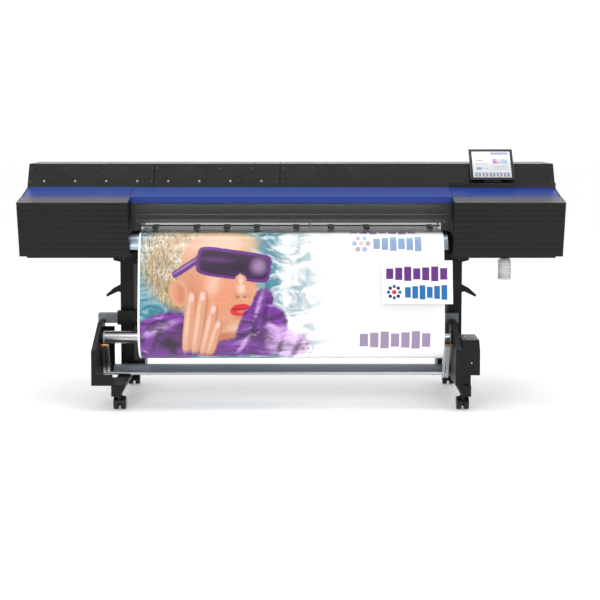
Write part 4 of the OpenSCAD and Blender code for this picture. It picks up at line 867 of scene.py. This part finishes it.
# Frame pieces and the finish that each wears
WEARS = {
    "black_cover": ("cover_left", "cover_right"),
    "hood_black": ("hood_left", "hood_center", "hood_right", "rear_panel"),
    "blue_trim": ("top_trims", "front_cover"),
    "clear_window": ("cover_window",),
    "black_steel": ("leg_left", "leg_right", "foot_left", "foot_right", "take_up_frames", "base_frame",
                    "wing_hooks"),
    "grey_steel": ("stretcher_beam", "take_up_rail"),
    "beam_metal": ("guide_beam",),
    "aluminium": ("swing_arms", "take_up_motor", "motor_pulley", "idler_pulley"),
    "bright_steel": ("grit_roller", "blade_holder"),
    "dark_metal": ("platen", "roll_holders"),
    "rubber": ("caster_wheels_fl", "caster_wheels_fr", "caster_wheels_rl", "caster_wheels_rr", "pinch_wheels",
               "drive_belt", "cap_station"),
    "bronze": ("arm_bearings", "motor_pinion"),
    "black_plastic": ("caster_fork_fl", "caster_fork_fr", "caster_fork_rl", "caster_fork_rr", "drive_case",
                      "drive_gear", "rail_slider", "print_carriage", "pinch_arms", "ink_trays", "tablet_holder",
                      "power_inlet", "power_rocker", "fasteners"),
    "apron_sheet": ("apron",),
    "tube_sleeve": ("take_up_tube",),
    "tablet_body": ("tablet",),
    "clear_bottle": ("drain_bottle",),
    "light_guide": ("status_leds",),
    "grey_switch": ("direction_switch", "mode_switch"),
    "lever_blue": ("loading_lever",),
    "roll_vinyl": ("supply_roll",),
}
# Frame pieces whose edges are rounded, with the share of the covers' radius
ROUNDED = {
    "cover_left": 0.7, "cover_right": 0.7, "hood_left": 2.0, "hood_center": 2.0, "hood_right": 2.0,
    "front_cover": 0.9, "top_trims": 0.9, "leg_left": 1.2, "leg_right": 1.2, "foot_left": 1.2, "foot_right": 1.2,
    "take_up_frames": 0.6, "drive_case": 1.2, "take_up_rail": 1.5, "stretcher_beam": 1.5, "swing_arms": 0.8,
    "tablet": 0.9, "print_carriage": 1.5, "rail_slider": 1.2, "take_up_tube": 0.8,
}


# ---------------------------------------------------------------- the web

def route_points():
    """The web's route as (depth from the front, height), in millimetres, from the supply roll to the tube."""
    base, deck = 822.0, 940.5
    route = [(543.5, base - 182), (541, base - 100), (530, base), (510, base + 70), (495, base + 100),
             (488, base + 114), (478, deck + 0.4), (455, deck), (420, deck), (300, deck), (180, deck), (148, deck)]
    for angle in (18, 36, 54, 72):
        turn = math.radians(angle)
        route.append((150 - 83.2 * math.sin(turn), base + 20 + 99.2 * math.cos(turn)))
    route += [(61, base + 10), (46, base - 60), (28, base - 172), (12, 560), (5, 480), (7, 410), (22, 345), (60, 292),
              (120, 265), (180, 264), (212, 288), (216.5, 330), (215.5, 366)]
    return [Vector((depth - 374.0, height)) for depth, height in route]


def smooth_line(points, steps):
    """A smooth curve through the points."""
    line = []
    for i in range(len(points) - 1):
        p, q, r, s = (points[max(0, min(len(points) - 1, i + k))] for k in (-1, 0, 1, 2))
        for step in range(steps):
            t = step / steps
            line.append(0.5 * (2 * q + (r - p) * t + (2 * p - 5 * q + 4 * r - s) * t * t
                               + (3 * q - p - 3 * r + s) * t * t * t))
    line.append(points[-1])
    return line


def web_line(steps):
    """The web's inner line in metres, and the distance of each point down the web from the platen's edge."""
    line = [p * 0.001 for p in smooth_line(route_points(), steps)]
    run = [0.0]
    for a, b in zip(line, line[1:]):
        run.append(run[-1] + (b - a).length)
    edge = run[11 * steps]
    return line, [distance - edge for distance in run]


def sheet_normals(line):
    """Unit normals of a line, on the side away from the machine's works."""
    normals = []
    for i in range(len(line)):
        along = (line[min(len(line) - 1, i + 1)] - line[max(0, i - 1)]).normalized()
        normals.append(Vector((along.y, -along.x)))
    return normals


def add_sheet(bm, line, downs, left, right, thick, columns, layer):
    """A closed sheet along a side-on line: print coordinates in metres outside, and a bare back."""
    normals = sheet_normals(line)
    rows = []
    for p, n in zip(line, normals):
        row = []
        for offset in (0.0, thick):
            spot = p + n * offset
            row.append([bm.verts.new((left + (right - left) * k / columns, spot.x, spot.y)) for k in range(columns + 1)])
        rows.append(row)

    def face(corners, marks):
        made = bm.faces.new(corners)
        for loop, mark in zip(made.loops, marks):
            loop[layer].uv = mark

    for i in range(len(rows) - 1):
        for side in (0, 1):
            for k in range(columns):
                corners = [rows[i][side][k], rows[i][side][k + 1], rows[i + 1][side][k + 1], rows[i + 1][side][k]]
                width = (right - left) / columns
                marks = [(k * width, downs[i]), ((k + 1) * width, downs[i]), ((k + 1) * width, downs[i + 1]),
                         (k * width, downs[i + 1])]
                if side == 1:
                    corners.reverse()
                    marks.reverse()
                else:
                    marks = [(-0.01, mark[1]) for mark in marks]
                face(corners, marks)
        for k, order in ((0, 1), (columns, -1)):
            corners = [rows[i][0][k], rows[i + 1][0][k], rows[i + 1][1][k], rows[i][1][k]][::order]
            face(corners, [(-0.01, downs[i])] * 4)
    for i, order in ((0, 1), (len(rows) - 1, -1)):
        for k in range(columns):
            corners = [rows[i][0][k], rows[i][1][k], rows[i][1][k + 1], rows[i][0][k + 1]][::order]
            face(corners, [(-0.01, downs[i])] * 4)
    bmesh.ops.recalc_face_normals(bm, faces=bm.faces[:])


class PRINTER_OT_web(bpy.types.Operator):
    """Lays the printed film from the supply roll over the platen to the take-up tube"""
    bl_idname = "printer.web"
    bl_label = "Printed Web"

    def execute(self, context):
        web = settings("printer_web")
        line, downs = web_line(web.smooth_steps)
        low, high = node_box("media_web")
        bm = bmesh.new()
        layer = bm.loops.layers.uv.new("Print")
        add_sheet(bm, line, downs, low.x, high.x, mm(0.6), web.columns, layer)
        obj = new_piece("printed_web", bm, None, "machine", smooth=40)
        for number, region in enumerate(REGIONS):
            obj.data.materials.append(web_material(f"printed_film_{number + 1}", web.border, region))
        marks = obj.data.uv_layers["Print"].data
        for poly in obj.data.polygons:
            along = sum(marks[k].uv.x for k in poly.loop_indices) / poly.loop_total
            down = sum(marks[k].uv.y for k in poly.loop_indices) / poly.loop_total
            for number, (left, right, top, bottom) in enumerate(REGIONS):
                if left <= along < right and top <= down < bottom:
                    poly.material_index = number
        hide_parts("media_web")
        # The cut label that stands a little off the web, past its right edge
        first = next(i for i, down in enumerate(downs) if down > 0.180)
        last = next(i for i, down in enumerate(downs) if down > 0.425)
        part = [p + n * mm(6.0) for p, n in zip(line[first:last], sheet_normals(line)[first:last])]
        marks = [0.0]
        for a, b in zip(part, part[1:]):
            marks.append(marks[-1] + (b - a).length)
        bm = bmesh.new()
        layer = bm.loops.layers.uv.new("Print")
        add_sheet(bm, part, marks, mm(478), mm(855), mm(0.5), 12, layer)
        card = new_piece("cut_label", bm, label_material(), "machine", smooth=40)
        return {"FINISHED"}


# ---------------------------------------------------------------- other pieces

def add_print_box(bm, layer, low, high, turn):
    """A slab whose front face (towards -Y) holds print coordinates from its top left corner."""
    verts = add_box(bm, low, high)
    for face in {f for v in verts for f in v.link_faces}:
        for loop in face.loops:
            loop[layer].uv = (loop.vert.co.x - low[0], high[2] - loop.vert.co.z)
    bmesh.ops.transform(bm, matrix=turn, verts=verts)
    return verts


class PRINTER_OT_tablet(bpy.types.Operator):
    """Puts glass, a lit screen and buttons on the tablet"""
    bl_idname = "printer.tablet"
    bl_label = "Tablet Screen"

    def execute(self, context):
        axis = Vector(at(1100, -93, 1210))
        turn = Matrix.Translation(axis) @ Matrix.Rotation(math.radians(-35), 4, "X")
        bm = bmesh.new()
        layer = bm.loops.layers.uv.new("Print")
        add_print_box(bm, layer, at(-117, -16.7, 3), at(117, -15.9, 195), turn)
        glass = moulded("tablet_glass", (0.006, 0.0065, 0.008), roughness=0.22, size=60.0, depth=0.0, dust=0.0)
        new_piece("tablet_glass", bm, glass, "tablet_body")
        bm = bmesh.new()
        layer = bm.loops.layers.uv.new("Print")
        add_print_box(bm, layer, at(-105, -17.0, 14), at(105, -16.6, 182), turn)
        new_piece("tablet_screen", bm, screen_material(), "tablet_body")
        bm = bmesh.new()
        verts = add_rod(bm, (0, mm(-16.8), mm(188.5)), (0, 1, 0), mm(1.6), mm(0.6), sides=20)
        verts += add_box(bm, at(60, -13, 197.5), at(74, -10, 199))
        verts += add_box(bm, at(80, -13, 197.5), at(106, -10, 199))
        bmesh.ops.transform(bm, matrix=turn, verts=verts)
        new_piece("tablet_buttons", bm, MATERIALS["dark_metal"], "tablet_body")
        return {"FINISHED"}


class PRINTER_OT_bottle(bpy.types.Operator):
    """Replaces the drain bottle with a thin moulded one, part filled"""
    bl_idname = "printer.bottle"
    bl_label = "Drain Bottle"

    def execute(self, context):
        centre = Vector((mm(1157), mm(-174), 0))
        foot, head = 0.683, 0.797
        outer = [(0.0, foot + 0.003), (0.024, foot + 0.003), (0.029, foot), (0.0335, foot + 0.001),
                 (0.0358, foot + 0.006)]
        for step in range(5):
            z = foot + 0.018 + step * 0.015
            outer += [(0.0358, z), (0.0346, z + 0.0018), (0.0346, z + 0.0038), (0.0358, z + 0.0056)]
        outer += [(0.0358, head - 0.018), (0.0335, head - 0.009), (0.026, head - 0.003), (0.0195, head),
                  (0.0195, head + 0.018)]
        inner = [(max(0.0, r - 0.0012), z + (0.0012 if r < 0.03 and z < foot + 0.01 else 0.0)) for r, z in outer]
        bm = bmesh.new()
        add_spun(bm, centre, (0, 0, 1), outer + inner[::-1], sides=64)
        shell = new_piece("bottle_shell", bm, MATERIALS["clear_bottle"], "bottle", smooth=50)
        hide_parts("drain_bottle")
        bm = bmesh.new()
        add_spun(bm, centre, (0, 0, 1), [(0.0, foot + 0.0045), (0.030, foot + 0.0045), (0.0330, foot + 0.009),
                                         (0.0330, foot + 0.028), (0.0, foot + 0.028)], sides=48)
        inky = moulded("spent_ink", (0.02, 0.012, 0.03), roughness=0.1, size=50.0, depth=0.0, dust=0.0)
        new_piece("bottle_ink", bm, inky, "bottle", smooth=40)
        bm = bmesh.new()
        add_spun(bm, centre, (0, 0, 1), [(0.0200, head + 0.001), (0.0265, head + 0.001), (0.0272, head + 0.003),
                                         (0.0272, head + 0.0095), (0.0200, head + 0.0095), (0.0200, head + 0.001)],
                 sides=60)
        new_piece("bottle_collar", bm, MATERIALS["black_plastic"], "bottle", smooth=35)
        return {"FINISHED"}


def add_screw(bm, centre, axis, radius):
    """A cap screw: a domed head with a round recess."""
    axis = Vector(axis).normalized()
    add_spun(bm, centre, axis, [(radius, 0.0), (radius, radius * 0.35), (radius * 0.86, radius * 0.52),
                                (radius * 0.42, radius * 0.6), (radius * 0.34, radius * 0.25), (0.0, radius * 0.22)],
             sides=20)


class PRINTER_OT_screws(bpy.types.Operator):
    """Screws in the hood, the covers and the stand"""
    bl_idname = "printer.screws"
    bl_label = "Screws"

    def execute(self, context):
        bm = bmesh.new()
        # The hood's steep face, from its foot up to the flat top
        foot, run, rise = Vector((0, -89, 1179)), 65, 124
        top = foot.z + rise
        out = Vector((0, -rise, run)).normalized()
        for x in (-1425, -1240, -1070, -900, -765, -735, -560, -390, -220, -77, -45, 120, 330, 540, 750, 1425):
            add_screw(bm, at(x, foot.y + run * 0.80, foot.z + rise * 0.80), out, mm(3.2))
        for x in (-1425, -765, -735, -77, -45, 1425):
            add_screw(bm, at(x, foot.y + run * 0.22, foot.z + rise * 0.22), out, mm(3.2))
        for x in (-1400, -1000, -600, -200, 200, 600, 1000, 1400):
            add_screw(bm, at(x, 10, top), (0, 0, 1), mm(3.2))
            add_screw(bm, at(x, 215, top), (0, 0, 1), mm(3.2))
            add_screw(bm, at(x + 30, 246, 1290), (0, 1, 0), mm(3.0))
        new_piece("hood_screws", bm, MATERIALS["dark_metal"], "machine", smooth=35)
        bm = bmesh.new()
        for side in (-1, 1):
            for y in (40, 110):
                for z in (800, 772):
                    add_screw(bm, (side * mm(955), mm(y), mm(z)), (side, 0, 0), mm(5))
            for x in (845, 935):
                for z in (806, 770):
                    add_screw(bm, (side * mm(x), mm(26), mm(z)), (0, -1, 0), mm(4.5))
            for z in (160, 182):
                for x in (848, 928):
                    add_screw(bm, (side * mm(x), mm(26), mm(z)), (0, -1, 0), mm(4.5))
        new_piece("stand_screws", bm, MATERIALS["dark_metal"], "machine", smooth=35)
        return {"FINISHED"}


class PRINTER_OT_stand(bpy.types.Operator):
    """Strips, seams and plates on the stand and the take-up unit"""
    bl_idname = "printer.stand"
    bl_label = "Stand Details"

    def execute(self, context):
        strip = moulded("leg_strip", (0.075, 0.082, 0.085), roughness=0.38, size=1100.0, depth=0.12, dust=0.05)
        bm = bmesh.new()
        for side in (-1, 1):
            low, high = sorted((side * mm(824), side * mm(880)))
            add_box(bm, (low, mm(25.0), mm(196)), (high, mm(26.4), mm(742)))
        strips = new_piece("leg_strips", bm, strip, "machine")
        add_bevel(strips, mm(0.5))
        # Grey facings on the take-up frames' slanted fronts
        slant = Vector((0, mm(250), mm(115)))
        out = Vector((0, -mm(115), mm(250))).normalized()
        bm = bmesh.new()
        for left, right in ((-1058, -1036), (874, 908)):
            corners = [Vector(at(x, -374, 323)) + slant * share + out * lift
                       for lift in (mm(0.1), mm(1.3)) for share in (0.03, 0.97) for x in (left, right)]
            verts = [bm.verts.new(c) for c in corners]
            for order in ((0, 2, 3, 1), (4, 5, 7, 6), (0, 1, 5, 4), (2, 6, 7, 3), (0, 4, 6, 2), (1, 3, 7, 5)):
                bm.faces.new([verts[k] for k in order])
        bmesh.ops.recalc_face_normals(bm, faces=bm.faces[:])
        facing = moulded("frame_facing", (0.045, 0.047, 0.052), roughness=0.4, size=1000.0, depth=0.15, dust=0.1)
        faced = new_piece("frame_facings", bm, facing, "machine")
        add_bevel(faced, mm(0.4))
        # Drive case: a seam line, a plate with a lamp, and a vent
        bm = bmesh.new()
        add_box(bm, at(910.5, -372.7, 296), at(1001.6, -162.5, 297.6))
        new_piece("case_seam", bm, MATERIALS["rubber"], "machine")
        bm = bmesh.new()
        add_box(bm, at(924, -373.4, 232), at(988, -371.8, 276))
        plate = new_piece("case_plate", bm, MATERIALS["black_plastic"], "machine")
        add_bevel(plate, mm(0.6))
        bm = bmesh.new()
        for k in range(5):
            add_box(bm, at(1000.4, -330 + 26 * k, 214), at(1001.5, -318 + 26 * k, 274))
        new_piece("case_vents", bm, MATERIALS["rubber"], "machine")
        bm = bmesh.new()
        add_rod(bm, at(956, -374.0, 262), (0, 1, 0), mm(2.6), mm(1.6), sides=24)
        new_piece("case_lamp", bm, lit_material("lamp_green", (0.15, 0.9, 0.35), 1.0), "machine")
        # Bellows cuff where the tube meets the drive, and the tube's end rings
        # Plain rings on the take-up tube's ends, the right one where the tube meets the drive
        bm = bmesh.new()
        for x in (-1016.5, 858):
            add_spun(bm, at(x, -194, 368), (1, 0, 0),
                     outline((34.1, 0), (35.2, 0.6), (35.2, 5), (34.1, 5.6), (34.1, 0)),
                     sides=64)
        new_piece("tube_rings", bm, MATERIALS["grey_switch"], "take_up_roll", smooth=40)
        return {"FINISHED"}


class PRINTER_OT_casters(bpy.types.Operator):
    """Hubs and brake pedals on the casters"""
    bl_idname = "printer.casters"
    bl_label = "Casters"

    def execute(self, context):
        hub = moulded("caster_hub", (0.06, 0.06, 0.065), roughness=0.4, size=900.0, depth=0.1, dust=0.15)
        for tag in ("fl", "fr", "rl", "rr"):
            low, high = node_box("caster_wheels_" + tag)
            centre = (low + high) / 2
            bm = bmesh.new()
            for side, x in ((-1, low.x), (1, high.x)):
                profile = outline((0, 0.9), (4, 0.9), (5, 0.2), (14, 0.2), (16, 1.2), (19, 1.2), (20.5, 0.3), (22, 0),
                                  (22, -1.5), (0, -1.5))
                add_spun(bm, (x, centre.y, centre.z), (side, 0, 0), profile, sides=48)
            new_piece("hub_caps_" + tag, bm, hub, "wheels_" + tag, smooth=35)
            fork_low, fork_high = node_box("caster_fork_" + tag)
            bm = bmesh.new()
            middle = (fork_low + fork_high) / 2
            reach = -1 if centre.y < middle.y + mm(0.01) and tag[0] == "f" else 1
            edge = fork_low.y if reach < 0 else fork_high.y
            add_box(bm, (middle.x - mm(11), min(edge, edge - reach * mm(12)), fork_high.z - mm(31)),
                    (middle.x + mm(11), max(edge, edge - reach * mm(12)), fork_high.z - mm(25)))
            pedal = new_piece("brake_" + tag, bm, MATERIALS["dark_metal"], "swivel_" + tag)
            add_bevel(pedal, mm(1.5))
        return {"FINISHED"}


class PRINTER_OT_rolls(bpy.types.Operator):
    """Wound layers on the supply roll's two ends"""
    bl_idname = "printer.rolls"
    bl_label = "Rolls"

    def execute(self, context):
        low, high = node_box("supply_roll")
        centre = (low + high) / 2
        bm = bmesh.new()
        for side in (-1, 1):
            x = side * mm(812.6)
            rings = [(57.0 + 2.0 * k + wide, high) for k in range(9) for wide, high in ((0.0, 0.7), (0.9, 0.1))]
            profile = outline((56.2, 0), *rings, (74.6, 0), (74.6, -0.6), (56.2, -0.6), (56.2, 0))
            add_spun(bm, (x, centre.y, centre.z), (side, 0, 0), profile, sides=96)
        new_piece("roll_layers", bm, MATERIALS["roll_vinyl"], "supply", smooth=30)
        return {"FINISHED"}


class PRINTER_OT_finishes(bpy.types.Operator):
    """Gives every frame piece its finish and rounds the covers' edges"""
    bl_idname = "printer.finishes"
    bl_label = "Finishes"

    def execute(self, context):
        make_finishes()
        for finish, nodes in WEARS.items():
            for node in nodes:
                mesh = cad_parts[node].data
                mesh.materials.clear()
                mesh.materials.append(MATERIALS[finish])
        radius = settings("printer_finish").edge_round
        for node, share in ROUNDED.items():
            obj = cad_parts[node]
            weld = obj.modifiers.new("Weld", "WELD")
            weld.merge_threshold = 1e-5
            add_bevel(obj, radius * share, segments=2)
        return {"FINISHED"}


# ---------------------------------------------------------------- stage

def area_light(name, spot, aim, size, power, colour=(1, 1, 1)):
    """A soft rectangular light that points at a spot."""
    lamp = bpy.data.lights.new(name, "AREA")
    lamp.shape = "RECTANGLE"
    lamp.size, lamp.size_y = size
    lamp.energy = power
    lamp.color = colour
    obj = bpy.data.objects.new(name, lamp)
    obj.location = spot
    obj.rotation_euler = (Vector(aim) - Vector(spot)).to_track_quat("-Z", "Y").to_euler()
    bpy.context.scene.collection.objects.link(obj)
    return obj


class PRINTER_OT_stage(bpy.types.Operator):
    """Sets up the floor, the lights and the camera"""
    bl_idname = "printer.stage"
    bl_label = "Stage"

    def execute(self, context):
        stage = settings("printer_stage")
        scene = context.scene
        bm = bmesh.new()
        corners = [bm.verts.new(c) for c in ((-30, -30, 0), (30, -30, 0), (30, 30, 0), (-30, 30, 0))]
        bm.faces.new(corners)
        ground = moulded("floor", (0.86, 0.86, 0.86), roughness=0.6, size=40.0, depth=0.0, dust=0.0)
        shader = ground.node_tree.nodes["Principled BSDF"]
        shader.inputs["Emission Color"].default_value = (1.0, 1.0, 1.0, 1.0)
        shader.inputs["Emission Strength"].default_value = 0.22
        floor = new_piece("floor", bm, ground, None)
        # A studio: a bright wall behind the machine, a soft ceiling and a dim room in front
        world = bpy.data.worlds.new("Studio")
        world.use_nodes = True
        tree = world.node_tree
        parts = tree.nodes.new("ShaderNodeSeparateXYZ")
        link(tree, tree.nodes.new("ShaderNodeTexCoord").outputs["Generated"], parts.inputs[0])
        wall = ramp(tree, parts.outputs["Y"], 0.1, 0.5, 0.0, 0.75)
        ceiling = ramp(tree, parts.outputs["Z"], 0.05, 0.75, 0.0, 0.60)
        glow = math_node(tree, "ADD", math_node(tree, "MAXIMUM", wall, ceiling), 0.30)
        link(tree, glow, tree.nodes["Background"].inputs["Strength"])
        tree.nodes["Background"].inputs["Color"].default_value = (1.0, 1.0, 1.0, 1.0)
        scene.world = world
        area_light("key", (-2.2, -5.2, 3.6), (0, 0, 0.8), (2.4, 1.6), 86)
        area_light("fill", (3.2, -5.0, 2.0), (0.3, 0, 0.7), (2.0, 2.0), 28, (0.97, 0.98, 1.0))
        area_light("top", (0.0, -0.6, 4.2), (0, 0, 1.1), (4.0, 1.2), 60)
        lens = bpy.data.cameras.new("Camera")
        lens.lens = stage.lens
        lens.sensor_width = 36.0
        lens.shift_x = 0.0147
        lens.shift_y = -0.157
        camera = bpy.data.objects.new("Camera", lens)
        camera.location = (0.0, -(stage.distance + 0.374), stage.eye_height)
        camera.rotation_euler = (math.radians(85.6), 0, 0)
        scene.collection.objects.link(camera)
        scene.camera = camera
        scene.view_settings.view_transform = "Standard"
        return {"FINISHED"}


class PRINTER_PT_panel(bpy.types.Panel):
    """The machine's settings and steps"""
    bl_label = "Printer Cutter"
    bl_space_type = "VIEW_3D"
    bl_region_type = "UI"
    bl_category = "Printer"

    def draw(self, context):
        column = self.layout.column(align=True)
        for group in ("printer_finish", "printer_web", "printer_stage"):
            values = getattr(context.scene, group)
            for name in values.bl_rna.properties.keys():
                if name not in ("rna_type", "name"):
                    column.prop(values, name)
        for step in STEPS:
            column.operator(step.bl_idname)


GROUP_TYPES = (("printer_finish", PrinterFinish), ("printer_web", PrinterWeb), ("printer_stage", PrinterStage))
STEPS = (PRINTER_OT_finishes, PRINTER_OT_web, PRINTER_OT_tablet, PRINTER_OT_bottle, PRINTER_OT_screws,
         PRINTER_OT_stand, PRINTER_OT_casters, PRINTER_OT_rolls, PRINTER_OT_stage)


def register():
    for name, kind in GROUP_TYPES:
        bpy.utils.register_class(kind)
        setattr(bpy.types.Scene, name, bpy.props.PointerProperty(type=kind))
    for kind in STEPS + (PRINTER_PT_panel,):
        bpy.utils.register_class(kind)


def unregister():
    for kind in (PRINTER_PT_panel,) + STEPS[::-1]:
        bpy.utils.unregister_class(kind)
    for name, kind in GROUP_TYPES[::-1]:
        delattr(bpy.types.Scene, name)
        bpy.utils.unregister_class(kind)


def main():
    """Runs every step."""
    register()
    for step in STEPS:
        area, name = step.bl_idname.split(".")
        getattr(getattr(bpy.ops, area), name)()
    bpy.context.view_layer.update()


if __name__ == "__main__":
    main()
